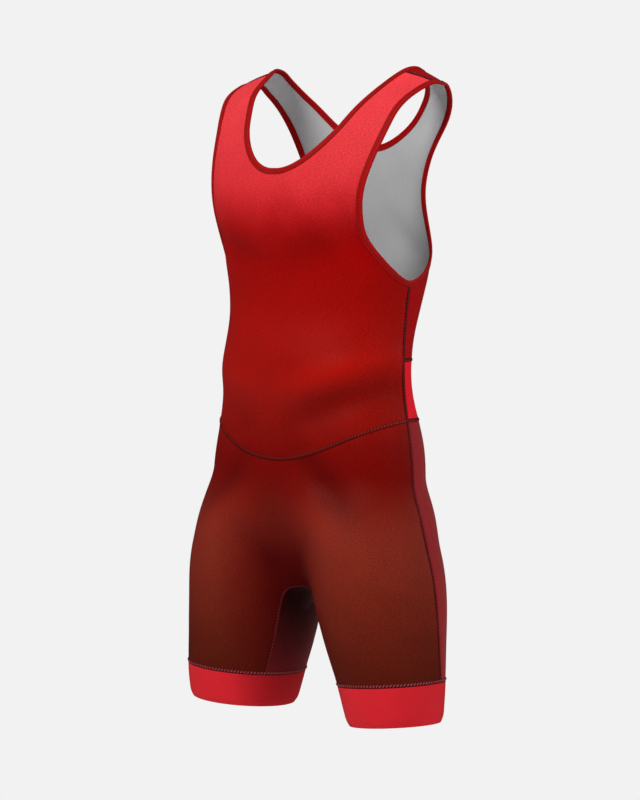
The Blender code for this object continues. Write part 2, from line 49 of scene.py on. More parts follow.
# %% [markdown]
# ## The figure under the cloth
#
# Stretch cloth takes the form of what fills it, so the form comes first.  It could be modelled
# by hand with the sculpt brushes, but a few sections with a smooth curve through them are
# easier to check and to change.  The torso is a stack of superellipses and each leg is a stack
# of turned ellipses; these are the same short tables that the solids were made from.

# %% Tables of the figure
SHOULDER_DROP = 0.0050      # the shoulder seam lies this far below the ridge, in front of it
UNDERARM_DROP = 0.266       # lowest point of the armhole
RIB_DROP = 0.305            # a row of cells runs from the underarm to here on the middle line
BACK_WAIST_TOP = 0.365      # upper seam of the back waist panel
WAIST_DROP = 0.440          # where the waist seams meet the side seam
CUFF_DROP = 0.769           # seam of the leg band, where it crosses the leg's axis
HEM_DROPS = {"left": 0.821, "right": 0.814}
CUFF_TILT = (-0.08, 0.00)   # how fast the band's seams drop outwards and backwards
SIDE_TURN = 102.0           # side seam round the leg at the band, in degrees from the front
INSEAM_TURN = -65.0
TORSO_BLEND = 0.036         # reach of the soft join between the torso and the legs
LEG_BLEND = 0.020           # reach of the soft join between the two legs
DROOP_START = 0.122         # the straps slope down outside this distance from the middle
FORK = (0.0, -0.034, -0.662)    # where the inseams meet
FORK_TOP_DROP = 0.610
HIP_STEP = 0.060
FINE = 400                  # samples of a curve while it is worked out

TORSO = (
    # name             drop  front_w back_w front  back  middle square  droops
    ("shoulder ridge", 0.000, 0.300, 0.300, 0.000, 0.000, 0.050, 2.20, 1.50, 1.50),
    ("strap top", 0.004, 0.300, 0.280, 0.014, 0.013, 0.050, 2.20, 1.10, 1.45),
    ("strap", 0.015, 0.300, 0.254, 0.033, 0.024, 0.050, 2.30, 0.70, 1.35),
    ("collar bone", 0.037, 0.290, 0.220, 0.064, 0.041, 0.049, 2.30, 0.35, 1.15),
    ("upper chest", 0.070, 0.240, 0.182, 0.091, 0.056, 0.047, 2.25, 0.25, 0.80),
    ("neck point", 0.109, 0.205, 0.154, 0.111, 0.061, 0.042, 2.30, 0.12, 0.40),
    ("chest", 0.154, 0.178, 0.149, 0.121, 0.066, 0.034, 2.40, 0.00, 0.10),
    ("breast", 0.194, 0.162, 0.148, 0.117, 0.077, 0.028, 2.35, 0.00, 0.00),
    ("armhole", 0.232, 0.151, 0.147, 0.101, 0.091, 0.021, 2.30, 0.00, 0.00),
    ("underarm", 0.272, 0.145, 0.145, 0.089, 0.091, 0.015, 2.25, 0.00, 0.00),
    ("ribs", 0.318, 0.142, 0.142, 0.086, 0.075, 0.011, 2.20, 0.00, 0.00),
    ("waist", 0.368, 0.143, 0.143, 0.093, 0.060, 0.006, 2.20, 0.00, 0.00),
    ("belt line", 0.418, 0.148, 0.148, 0.083, 0.064, 0.004, 2.25, 0.00, 0.00),
    ("belly", 0.470, 0.158, 0.158, 0.081, 0.079, 0.003, 2.30, 0.00, 0.00),
    ("hips", 0.525, 0.165, 0.165, 0.080, 0.080, 0.000, 2.30, 0.00, 0.00),
    ("seat", 0.580, 0.150, 0.150, 0.076, 0.082, -0.002, 2.20, 0.00, 0.00),
    ("fork", 0.632, 0.100, 0.100, 0.046, 0.052, -0.002, 2.00, 0.00, 0.00),
    ("under fork", 0.660, 0.040, 0.040, 0.014, 0.018, -0.002, 2.00, 0.00, 0.00),
)
LEG = (
    # name         drop   across  back   long   short  turn
    ("leg top", 0.505, 0.090, 0.000, 0.030, 0.030, 0.0),
    ("hip", 0.550, 0.094, -0.004, 0.068, 0.068, 5.0),
    ("thigh", 0.605, 0.102, -0.004, 0.086, 0.083, 15.0),
    ("mid thigh", 0.665, 0.110, -0.001, 0.088, 0.083, 25.0),
    ("above cuff", 0.725, 0.119, 0.000, 0.083, 0.075, 30.0),
    ("cuff seam", 0.770, 0.128, 0.000, 0.077, 0.067, 30.0),
    ("hem", 0.820, 0.135, 0.000, 0.068, 0.059, 30.0),
    ("below hem", 0.870, 0.142, 0.000, 0.062, 0.055, 30.0),
)

# %% [markdown]
# ## Curves through a few rows
#
# A natural cubic spline bends as little as a thin strip of wood held at the same points.  One
# small linear system gives it for all columns of a table at once.

# %% Smooth curves
def numbers(table):
    """Return the numbers of a table, without the names of its rows."""
    return np.array([row[1:] for row in table], dtype=float)


def spline(values):
    """Return a smooth curve that passes values[i] at i: a natural cubic spline."""
    values = np.asarray(values, dtype=float)
    count = len(values)
    system = 4.0 * np.eye(count) + np.eye(count, k=1) + np.eye(count, k=-1)
    system[0] = np.eye(count)[0]
    system[-1] = np.eye(count)[-1]
    pull = np.zeros_like(values)
    pull[1:-1] = 6.0 * (values[:-2] - 2.0 * values[1:-1] + values[2:])
    bend = np.linalg.solve(system, pull.reshape(count, -1)).reshape(values.shape)

    def curve(place):
        place = np.clip(place, 0.0, count - 1.0)
        first = np.minimum(place.astype(int), count - 2)
        after = (place - first).reshape(place.shape + (1,) * (values.ndim - 1))
        before = 1.0 - after
        straight = before * values[first] + after * values[first + 1]
        curved = (before ** 3 - before) * bend[first] + (after ** 3 - after) * bend[first + 1]
        return straight + curved / 6.0

    return curve


def torso_sections():
    """Return the torso's sections as one curve from the back, over the ridge, to the front."""
    columns = numbers(TORSO).T
    drop, front_width, back_width, front, back, middle, square, front_droop, back_droop = columns
    ahead = np.stack([drop, front_width, front, middle, square, front_droop], axis=1)
    behind = np.stack([drop, back_width, -back, middle, square, back_droop], axis=1)
    return spline(np.vstack([behind[:0:-1], ahead]))


LAST_ROW = len(TORSO) - 1
SECTION_AT = torso_sections()
ROWS = np.linspace(0.0, LAST_ROW, 40 * LAST_ROW + 1)
FRONT_SECTIONS = SECTION_AT(LAST_ROW + ROWS)
BACK_SECTIONS = SECTION_AT(LAST_ROW - ROWS)
DROPS = FRONT_SECTIONS[:, 0]
print("sections of the torso:", len(TORSO), "and of a leg:", len(LEG))

# %% [markdown]
# ## Points on the torso and on a leg
#
# Each point of the torso has a row, which counts down from the shoulders (negative on the
# back), and a turn from the middle of the front or back to the side.  A curve in those two
# numbers, such as the edge of an armhole, always lies on the cloth.

# %% The torso and the leg as functions of two numbers
def row_at(drop):
    """Return the row of a section from its drop; both are negative on the back."""
    return np.sign(drop) * np.interp(np.abs(drop), DROPS, ROWS)


def torso_point(row, turn):
    """Return the points of the torso at a row and a turn from the front or back to the side.

    The point is middle + (half_width sin t, depth cos t) / (sin^n t + cos^n t)^(1/n), at a
    height of -drop, less droop times how far the square of its distance from the middle line
    is past that of the strap's inner end.
    """
    section = SECTION_AT(LAST_ROW + np.asarray(row, dtype=float))
    drop, half_width, depth, middle, square, droop = np.moveaxis(section, -1, 0)
    side = np.abs(np.sin(turn))
    ahead = np.abs(np.cos(turn))
    size = (side ** square + ahead ** square) ** (1.0 / square)
    across = half_width * np.sin(turn) / size
    back = middle - depth * np.cos(turn) / size
    up = droop * (DROOP_START ** 2 - across ** 2) - drop
    return np.stack([across, back, up], axis=-1)


def turn_at(row, across):
    """Return the turn at which a torso section is "across" from the middle line."""
    section = SECTION_AT(LAST_ROW + np.asarray(row, dtype=float))
    share = np.clip(across / section[..., 1], 0.0, 1.0)
    square = section[..., 4]
    return np.arctan2(share, (1.0 - share ** square) ** (1.0 / square))


def leg_sections(drop):
    """Return the columns of LEG at a drop, read from a smooth curve."""
    places = np.linspace(0.0, len(LEG) - 1.0, FINE)
    rows = spline(numbers(LEG))(places)
    return [np.interp(drop, rows[:, 0], rows[:, column]) for column in range(1, 6)]


def leg_point(drop, turn):
    """Return the points of the left leg's tube at a drop and a turn from the front."""
    across, back, long_axis, short_axis, tilt = leg_sections(drop)
    angle = np.radians(turn)
    along = np.sin(angle + np.radians(tilt))
    other = np.cos(angle + np.radians(tilt))
    reach = 1.0 / np.sqrt((along / long_axis) ** 2 + (other / short_axis) ** 2)
    x = across + reach * np.sin(angle)
    y = back - reach * np.cos(angle)
    return np.stack([x, y, -np.asarray(drop) * np.ones_like(x)], axis=-1)

# %% [markdown]
# ## One skin over the hips
#
# Where the legs join the torso the sections cross each other.  A metaball or a voxel remesh
# would melt them together, but would lose the exact form.  Instead each form is a field that
# is 0 on its skin, and the soft minimum of the fields is the field of the joined skin.  A few
# Newton steps along its slope move any point onto that skin.

# %% The figure as a field
def torso_field(x, y, z):
    """Return a value that is 0 on the torso, below 0 inside it and grows outwards."""
    drop = -z
    front = [np.interp(drop, DROPS, FRONT_SECTIONS[:, column]) for column in range(1, 5)]
    half_width, ahead, middle, square = front
    behind = -np.interp(drop, DROPS, BACK_SECTIONS[:, 2])
    depth = np.where(y < middle, ahead, behind)
    size = (np.abs(x / half_width) ** square + np.abs((y - middle) / depth) ** square) ** (1.0 / square)
    return (size - 1.0) * np.minimum(half_width, depth) + np.maximum(drop - DROPS[-1], 0.0)


def leg_field(x, y, z):
    """Return a value that is 0 on the left leg's tube, below 0 inside and grows outwards."""
    across, back, long_axis, short_axis, tilt = leg_sections(-z)
    cosine = np.cos(np.radians(tilt))
    sine = np.sin(np.radians(tilt))
    along = (x - across) * cosine - (y - back) * sine
    other = (x - across) * sine + (y - back) * cosine
    size = np.sqrt((along / long_axis) ** 2 + (other / short_axis) ** 2)
    return (size - 1.0) * short_axis + np.maximum(z + LEG[0][1], 0.0)


def soft_minimum(first, second, reach):
    """Return the smaller of two values, rounded off where they differ by less than reach."""
    share = np.clip(0.5 + 0.5 * (second - first) / reach, 0.0, 1.0)
    return second + (first - second) * share - reach * share * (1.0 - share)


def figure_field(points):
    """Return a value that is 0 on the figure: the torso and both legs in one skin."""
    x, y, z = np.moveaxis(points, -1, 0)
    legs = soft_minimum(leg_field(x, y, z), leg_field(-x, y, z), LEG_BLEND)
    return soft_minimum(torso_field(x, y, z), legs, TORSO_BLEND)


def figure_slope(points, step=0.0005):
    """Return the gradient of figure_field by central differences."""
    slopes = []
    for axis in range(3):
        shift = np.zeros(3)
        shift[axis] = step
        slopes.append(figure_field(points + shift) - figure_field(points - shift))
    return np.stack(slopes, axis=-1) / (2.0 * step)


def onto_figure(points, rounds=8):
    """Move points onto the figure, along its slope."""
    for _ in range(rounds):
        slope = figure_slope(points)
        squared = np.sum(slope ** 2, axis=-1, keepdims=True)
        points = points - figure_field(points)[..., None] * slope / squared
    return points

# %% [markdown]
# ## Lines on the cloth
#
# Panels meet along lines, so the lines are worked out first: evenly spaced points along a
# curve, and a curve moved a set width into the cloth, for the inner edge of a tape.

# %% Helpers for lines
def lengths(points):
    """Return the distance along a polyline at each of its points."""
    steps = np.linalg.norm(np.diff(points, axis=0), axis=1)
    return np.concatenate([[0.0], np.cumsum(steps)])


def spread(points, cells):
    """Return the places along a polyline, in its own indices, of evenly spaced points."""
    along = lengths(points)
    return np.interp(np.linspace(0.0, along[-1], cells + 1), along, np.arange(len(points)))


def pick(values, places):
    """Return values at places between their indices."""
    index = np.arange(len(values))
    return np.stack([np.interp(places, index, column) for column in values.T], axis=-1)


def unit(vectors):
    """Return vectors with a length of 1."""
    return vectors / np.linalg.norm(vectors, axis=-1, keepdims=True)


def joined(*lines):
    """Join lines end to end, keeping each shared point once."""
    return np.concatenate([lines[0]] + [line[1:] for line in lines[1:]])


def evenly(line, cells):
    """Return points of a fine line of (row, turn), evenly spaced on the torso."""
    return pick(line, spread(torso_point(*line.T), cells))


def straight(start, end, cells):
    """Return evenly spaced points between two (row, turn) places."""
    return np.linspace(start, end, cells + 1)


def mirrored(points):
    """Return points on the wearer's right."""
    return points * np.array([-1.0, 1.0, 1.0])

# %% The edges of the neck and of an armhole
NECK_EDGE = (
    # name            across  drop
    ("front middle", 0.000, 0.127),
    ("scoop", 0.044, 0.113),
    ("collar", 0.077, 0.079),
    ("collar bone", 0.098, 0.041),
    ("shoulder", 0.115, SHOULDER_DROP),
    ("ridge", 0.121, -0.0005),
    ("neck side", 0.114, -0.022),
    ("back collar", 0.094, -0.050),
    ("back scoop", 0.058, -0.083),
    ("back middle", 0.000, -0.104),
)
ARMHOLE_EDGE = (
    # name            across  drop
    ("front side", 0.135, 0.228),
    ("breast", 0.130, 0.190),
    ("chest", 0.135, 0.148),
    ("upper chest", 0.144, 0.106),
    ("strap front", 0.152, 0.070),
    ("collar bone", 0.163, 0.034),
    ("shoulder", 0.171, SHOULDER_DROP),
    ("ridge", 0.170, -0.0005),
    ("strap back", 0.162, -0.020),
    ("blade", 0.147, -0.056),
    ("racer", 0.123, -0.100),
    ("narrowest", 0.105, -0.150),
    ("back ribs", 0.111, -0.195),
    ("back side", 0.130, -0.236),
)


def opening_edge(table, at_side):
    """Return the edge of an opening as a fine line of (row, turn) from its front to its back.

    The neck's line is symmetric where it meets the middle line, the armhole's where it meets
    the side seam.  Sample FINE - 1 lies on the shoulder seam.
    """
    across, drop = numbers(table).T
    rows = row_at(drop)
    line = np.stack([rows, turn_at(rows, across)], axis=1)
    half_turn = np.zeros(2)
    if at_side:
        bottom = row_at(UNDERARM_DROP)
        half_turn[1] = np.pi
        line = np.vstack([[bottom, np.pi / 2], line, [-bottom, np.pi / 2]])
    before = half_turn + line[1] * [1, -1]
    after = half_turn + line[-2] * [1, -1]
    curve = spline(np.vstack([before, line, after]))
    shoulder = [row[0] for row in table].index("shoulder") + 1 + at_side
    front = curve(np.linspace(1.0, shoulder, FINE))
    back = curve(np.linspace(shoulder, len(line), FINE))
    return joined(front, back)


def surface_steps(line, step=0.001):
    """Return how the torso's point moves for one row and for one radian of turn."""
    row, turn = line.T
    by_row = (torso_point(row + step, turn) - torso_point(row - step, turn)) / (2.0 * step)
    by_turn = (torso_point(row, turn + step) - torso_point(row, turn - step)) / (2.0 * step)
    return by_row, by_turn


def moved_inwards(edge, width, side):
    """Return a line of (row, turn) that lies "width" inside the cloth from an opening's edge.

    Seen from outside, the cloth lies to the right of the edge where side is 1, and to its left
    where side is -1.
    """
    halves = 2
    line = edge.copy()
    for _ in range(halves):
        by_row, by_turn = surface_steps(line)
        along = unit(np.gradient(torso_point(*line.T), axis=0))
        inwards = side * unit(np.cross(along, unit(np.cross(by_row, by_turn))))
        rows_squared = np.sum(by_row * by_row, axis=1)
        crossed = np.sum(by_row * by_turn, axis=1)
        turns_squared = np.sum(by_turn * by_turn, axis=1)
        on_row = np.sum(by_row * inwards, axis=1)
        on_turn = np.sum(by_turn * inwards, axis=1)
        whole = rows_squared * turns_squared - crossed ** 2
        row_move = (on_row * turns_squared - on_turn * crossed) / whole
        turn_move = (on_turn * rows_squared - on_row * crossed) / whole
        line = line + width / halves * np.stack([row_move, turn_move], axis=1)
    line[[0, -1], 1] = edge[[0, -1], 1]
    return line


NECK_LINE = opening_edge(NECK_EDGE, False)
ARM_LINE = opening_edge(ARMHOLE_EDGE, True)
print("length of the neck opening:", round(2 * lengths(torso_point(*NECK_LINE.T))[-1], 3), "m")
print("length of an armhole:", round(lengths(torso_point(*ARM_LINE.T))[-1], 3), "m")

# %% [markdown]
# ## The panels above the waist
#
# A Coons patch fills the space between four edges, as a sheet stretched in a bent frame does.
# It is worked out in rows and turns, so every point of it lies on the torso.  Half a panel is
# made and mirrored, because the cut is symmetric; the creases come later and are not.

# %% Fine grids of the upper panels
WAIST_ROWS = 24
RIB_ROWS = 30
ARM_ROWS = 90
NECK_ROWS = 58
HALF_COLUMNS = 64
TAPE_OVERLAP = 0.0010       # the panel ends this far inside the fold of its tape


def coons(bottom, top, inner, outer):
    """Fill a patch from its four edges: both ruled surfaces less the flat one of its corners."""
    right = np.linspace(0.0, 1.0, len(bottom))[None, :, None]
    high = np.linspace(0.0, 1.0, len(inner))[:, None, None]
    level = (1.0 - right) * inner[:, None] + right * outer[:, None]
    upright = (1.0 - high) * bottom[None] + high * top[None]
    low_corners = (1.0 - right) * bottom[0] + right * bottom[-1]
    high_corners = (1.0 - right) * top[0] + right * top[-1]
    return level + upright - (1.0 - high) * low_corners - high * high_corners


FRONT_WAIST = (
    # name       share   drop
    ("middle", 0.00, 0.491),
    ("flank", 0.25, 0.481),
    ("curve", 0.50, 0.460),
    ("rise", 0.75, 0.446),
    ("side", 1.00, WAIST_DROP),
)


def front_waist_line(cells):
    """Return the front waist seam, from the middle to the side seam, as (row, turn)."""
    share, drop = numbers(FRONT_WAIST).T
    line = np.stack([row_at(drop), share * np.pi / 2], axis=1)
    curve = spline(np.vstack([line[1] * [1, -1], line]))
    return evenly(curve(np.linspace(1.0, len(line), FINE)), cells)


def upper_panels():
    """Return the half grids of the front, the back and the back waist panel, as (row, turn)."""
    neck = moved_inwards(NECK_LINE, TAPE_OVERLAP, 1.0)
    arm = moved_inwards(ARM_LINE, TAPE_OVERLAP, -1.0)
    ends = slice(0, FINE)
    backs = slice(None, FINE - 2, -1)
    waist, band, rib = row_at(np.array([WAIST_DROP, BACK_WAIST_TOP, RIB_DROP]))
    side = np.pi / 2
    middle_rows = ARM_ROWS - NECK_ROWS

    bottom = front_waist_line(HALF_COLUMNS)
    outer = joined(
        straight((waist, side), (band, side), WAIST_ROWS),
        straight((band, side), arm[0], RIB_ROWS),
        evenly(arm[ends], ARM_ROWS),
    )
    inner = joined(
        straight(bottom[0], (rib, 0.0), WAIST_ROWS + RIB_ROWS),
        straight((rib, 0.0), neck[0], middle_rows),
        evenly(neck[ends], NECK_ROWS),
    )
    front = coons(bottom, straight(inner[-1], outer[-1], HALF_COLUMNS), inner, outer)

    bottom = evenly(straight((-band, 0.0), (-band, side), FINE), HALF_COLUMNS)
    outer = joined(straight((-band, side), arm[-1], RIB_ROWS), evenly(arm[backs], ARM_ROWS))
    inner = joined(
        straight(bottom[0], (-rib, 0.0), RIB_ROWS),
        straight((-rib, 0.0), neck[-1], middle_rows),
        evenly(neck[backs], NECK_ROWS),
    )
    back = coons(bottom, straight(inner[-1], outer[-1], HALF_COLUMNS), inner, outer)

    low = evenly(straight((-waist, 0.0), (-waist, side), FINE), HALF_COLUMNS)
    outer = straight((-waist, side), (-band, side), WAIST_ROWS)
    inner = straight((-waist, 0.0), (-band, 0.0), WAIST_ROWS)
    return front, back, coons(low, bottom, inner, outer)


FRONT_PLACES, BACK_PLACES, BAND_PLACES = upper_panels()
FRONT_UPPER, BACK_UPPER, BACK_WAIST = (
    torso_point(*np.moveaxis(places, -1, 0)) for places in (FRONT_PLACES, BACK_PLACES, BAND_PLACES)
)
print("half grids:", FRONT_UPPER.shape, BACK_UPPER.shape, BACK_WAIST.shape)

# %% [markdown]
# ## The panels below the waist
#
# The leg panels bend two ways over the hips and meet in the fork, where a plain Coons patch
# would bunch up.  A coarse patch is laid on the skin and evened out, each point moving to the
# mean of its neighbours, as a net under tension would; then splines through its rows and
# columns refine it.

# %% Coarse nets of the lower panels, evened out on the skin
COARSE_COLUMNS = 10
COARSE_BACK_COLUMNS = 12
SEAT_ROWS = 9
INSEAM_ROWS = 6
RELAX_ROUNDS = 30
REFINE = 8                  # fine cells in each coarse one
UNDER_FORK = (0.0, -0.003, -0.670)
EASE_REACH = 0.022
EASE_ROUNDS = 80
SIDE_SEAM = (
    # name         drop   turn
    ("thigh", 0.590, 95.0),
    ("mid thigh", 0.660, 97.0),
    ("above cuff", 0.720, 100.0),
)
INSEAM = (
    # name           drop   turn
    ("under fork", 0.670, -68.0),
    ("inner thigh", 0.720, -66.0),
)


def band_ring(drop, turns):
    """Return the points of a seam round the leg at the given turns, in a slightly tilted plane."""
    centre = leg_point(drop, np.array([0.0, 180.0])).mean(axis=0)
    points = leg_point(drop, turns)
    for _ in range(6):
        tilted = drop + (points - centre)[:, :2] @ np.array(CUFF_TILT)
        points = leg_point(tilted, turns)
    return points


def on_figure_line(points, cells):
    """Return evenly spaced points of a smooth line through points, moved onto the figure."""
    curve = spline(np.asarray(points))
    fine = onto_figure(curve(np.linspace(0.0, len(points) - 1.0, FINE)))
    return onto_figure(pick(fine, spread(fine, cells)))


def relaxed(grid, rounds):
    """Even out the inside of a grid: each point goes to the mean of its four neighbours."""
    for _ in range(rounds):
        inside = grid[:-2, 1:-1] + grid[2:, 1:-1] + grid[1:-1, :-2] + grid[1:-1, 2:]
        grid[1:-1, 1:-1] = onto_figure(inside / 4.0, 2)
    return grid


def refined(grid, times):
    """Return a grid with splines through its rows and columns, moved onto the figure."""
    rows = spline(grid)(np.linspace(0.0, len(grid) - 1.0, times * (len(grid) - 1) + 1))
    columns = spline(np.swapaxes(rows, 0, 1))
    places = np.linspace(0.0, grid.shape[1] - 1.0, times * (grid.shape[1] - 1) + 1)
    fine = onto_figure(np.swapaxes(columns(places), 0, 1), 4)
    fine[:, 0, 0] = np.where(grid[0, 0, 0] < 1e-9, 0.0, fine[:, 0, 0])
    return fine


def eased(grid, cells):
    """Smooth a half grid round the underside of the fork, where the skin has a sharp hollow.

    Each point moves to the mean of its neighbours, by the share exp(-(gap / reach)^2) of the
    way.  Beyond the middle line the neighbours are the mirrored ones.
    """
    gap = np.linalg.norm(grid - UNDER_FORK, axis=-1)[1:-1, :-1]
    share = np.exp(-(gap / EASE_REACH) ** 2)
    share[:cells, 0] = 0.0
    for _ in range(EASE_ROUNDS):
        wide = np.concatenate([mirrored(grid[:, 1:2]), grid], axis=1)
        mean = (wide[:-2, 1:-1] + wide[2:, 1:-1] + wide[1:-1, :-2] + wide[1:-1, 2:]) / 4.0
        grid[1:-1, :-1] += share[..., None] * (mean - grid[1:-1, :-1])
    grid[cells:, 0, 0] = 0.0
    return grid


def lower_panels():
    """Return the fine half grids of the lower front and back panels."""
    front_turns = np.linspace(INSEAM_TURN, SIDE_TURN, COARSE_COLUMNS + 1)
    back_turns = np.linspace(SIDE_TURN, INSEAM_TURN + 360.0, COARSE_BACK_COLUMNS + 1)
    front_cuff = band_ring(CUFF_DROP, front_turns)
    back_cuff = band_ring(CUFF_DROP, back_turns)
    front_top = torso_point(*front_waist_line(COARSE_COLUMNS).T)
    waist = row_at(WAIST_DROP)
    ends = straight((-waist, 0.0), (-waist, np.pi / 2), FINE)
    back_top = torso_point(*evenly(ends, COARSE_BACK_COLUMNS).T)

    drops, turns = numbers(INSEAM).T
    inseam = on_figure_line(np.vstack([FORK, leg_point(drops, turns), front_cuff[0]]), INSEAM_ROWS)
    inseam[0, 0] = 0.0
    drops, turns = numbers(SIDE_SEAM).T
    hip_drops = np.linspace(WAIST_DROP, SIDE_SEAM[0][1] - HIP_STEP, 3)
    hip = torso_point(row_at(hip_drops), np.full(3, np.pi / 2))
    side = np.vstack([hip, leg_point(drops, turns), front_cuff[-1]])
    side = on_figure_line(side, SEAT_ROWS + INSEAM_ROWS)

    grids = []
    for top, cuff, facing in ((front_top, front_cuff, 1), (back_top, back_cuff[::-1], -1)):
        guide_drops = np.linspace(-top[0, 2], FORK_TOP_DROP, 4)
        guide = torso_point(facing * row_at(guide_drops), np.zeros(4))
        middle = on_figure_line(np.vstack([guide, inseam[0]]), SEAT_ROWS)
        middle[:, 0] = 0.0
        inner = joined(inseam[::-1], middle[::-1])
        net = relaxed(onto_figure(coons(cuff, top, inner, side[::-1])), RELAX_ROUNDS)
        grids.append(refined(net, REFINE))
    return grids


FRONT_LOWER, BACK_LOWER = lower_panels()
INSEAM_CELLS = INSEAM_ROWS * REFINE
FRONT_LOWER[INSEAM_CELLS:, 0, 0] = 0.0
BACK_LOWER = eased(BACK_LOWER, INSEAM_CELLS)
print("half grids:", FRONT_LOWER.shape, BACK_LOWER.shape)

# %% [markdown]
# ## Creases and the pull of the seams
#
# Stretch cloth has no sharp folds: it shows long soft troughs and ridges where it is pulled,
# and small puckers beside each seam.  A cloth simulation on a filled-out garment would only
# smooth it, so both are given: a bell curve round a short line for each crease, and an uneven
# wave that fades away from the seam for the puckers.

# %% Soft folds, listed in tables
FRONT_FOLDS = (
    # name                 x1      z1      x2      z2     width   height
    ("belly pull high left", 0.030, -0.402, 0.150, -0.362, 0.020, 0.0056),
    ("belly pull high right", -0.125, -0.385, 0.000, -0.402, 0.022, 0.0030),
    ("belly pull trough", 0.020, -0.446, 0.150, -0.398, 0.018, -0.0060),
    ("belly pull low", -0.090, -0.440, -0.010, -0.455, 0.020, -0.0024),
    ("under the chest left", 0.020, -0.240, 0.115, -0.205, 0.024, -0.0032),
    ("under the chest right", -0.105, -0.222, -0.015, -0.240, 0.020, -0.0030),
    ("hip trough left", 0.050, -0.490, 0.130, -0.560, 0.020, -0.0056),
    ("hip ridge left", 0.040, -0.530, 0.110, -0.590, 0.022, 0.0030),
    ("hip trough right", -0.060, -0.500, -0.135, -0.556, 0.019, -0.0042),
    ("hip ridge right", -0.045, -0.535, -0.110, -0.585, 0.021, 0.0022),
    ("fork pull left", 0.012, -0.640, 0.060, -0.585, 0.012, -0.0018),
    ("fork pull right", -0.010, -0.636, -0.055, -0.590, 0.011, -0.0016),
    ("middle of the lap", 0.000, -0.530, 0.002, -0.600, 0.020, -0.0016),
    ("armhole pull left", 0.085, -0.190, 0.125, -0.262, 0.012, 0.0012),
    ("armhole pull right", -0.090, -0.200, -0.128, -0.258, 0.012, 0.0010),
)
BACK_FOLDS = (
    # name                 x1      z1      x2      z2     width   height
    ("small of the back", -0.070, -0.352, 0.060, -0.344, 0.013, -0.0016),
    ("above the waist", -0.055, -0.322, 0.085, -0.330, 0.014, 0.0014),
    ("blade pull left", 0.040, -0.175, 0.105, -0.240, 0.017, -0.0016),
    ("blade pull right", -0.045, -0.180, -0.100, -0.252, 0.016, -0.0014),
    ("under the seat left", 0.050, -0.612, 0.140, -0.598, 0.015, -0.0030),
    ("under the seat right", -0.045, -0.610, -0.135, -0.602, 0.016, -0.0026),
    ("seat middle", 0.002, -0.500, -0.003, -0.610, 0.018, -0.0028),
    ("seat pull left", 0.020, -0.520, 0.105, -0.470, 0.018, 0.0012),
    ("seat pull right", -0.020, -0.512, -0.110, -0.478, 0.018, 0.0010),
    ("knee pull left", 0.085, -0.690, 0.150, -0.668, 0.014, -0.0010),
    ("knee pull right", -0.090, -0.700, -0.155, -0.684, 0.013, -0.0011),
)
SEAM_FADE = 0.010           # creases fade to nothing this far from a panel's edge
PUCKER_REACH = 0.006
PUCKER_START = 0.0018       # the puckers start this far from the edge
PUCKER_UNEVEN = 3.0
FOLD_TAPER = 0.45           # a crease loses this share of its height towards its ends
PUCKER_HEIGHT = 0.00022
RIPPLE_HEIGHT = 0.00035
FORK_REACH = 0.045          # the cloth stays smooth round the fork
OUTER_FACE = 0.00045        # half the thickness of the cloth
WAVES = np.random.default_rng(11)


def fold_height(points, folds):
    """Return the height of all folds: each is a bell curve of the distance from its line."""
    flat = points[..., [0, 2]]
    height = np.zeros(points.shape[:-1])
    for _, x1, z1, x2, z2, width, top in folds:
        start = np.array([x1, z1])
        line = np.array([x2, z2]) - start
        share = np.clip((flat - start) @ line / (line @ line), 0.0, 1.0)
        gap = np.linalg.norm(flat - start - share[..., None] * line, axis=-1)
        taper = 1.0 - FOLD_TAPER * (2.0 * share - 1.0) ** 2
        height += top * np.exp(-(gap / width) ** 2) * taper
    return height


def ripples(wavelength):
    """Return an uneven wave from -1 to 1: the mean of sines along eight random directions."""
    directions = unit(WAVES.normal(size=(8, 3))) * 2.0 * np.pi / wavelength
    directions *= WAVES.uniform(0.6, 1.6, size=(8, 1))
    starts = WAVES.uniform(0.0, 2.0 * np.pi, 8)

    def wave(points):
        """Return the wave's height at each point."""
        return np.mean(np.sin(points @ directions.T + starts), axis=-1)
    return wave


def edge_gaps(points):
    """Return each point's distance to the four edges of its grid, along its row and column."""
    up = np.linalg.norm(np.diff(points, axis=0), axis=-1)
    right = np.linalg.norm(np.diff(points, axis=1), axis=-1)
    zero_row = np.zeros((1, points.shape[1]))
    zero_column = np.zeros((points.shape[0], 1))
    from_bottom = np.concatenate([zero_row, np.cumsum(up, axis=0)])
    from_left = np.concatenate([zero_column, np.cumsum(right, axis=1)], axis=1)
    return from_bottom, from_bottom[-1:] - from_bottom, from_left, from_left[:, -1:] - from_left


def grid_normals(points, facing, round_rows=False, round_columns=False):
    """Return the outward normals of a grid: the cross product of its two directions."""
    def step(axis, closed):
        if closed:
            return np.roll(points, -1, axis=axis) - np.roll(points, 1, axis=axis)
        return np.gradient(points, axis=axis)
    return facing * unit(np.cross(step(1, round_columns), step(0, round_rows)))


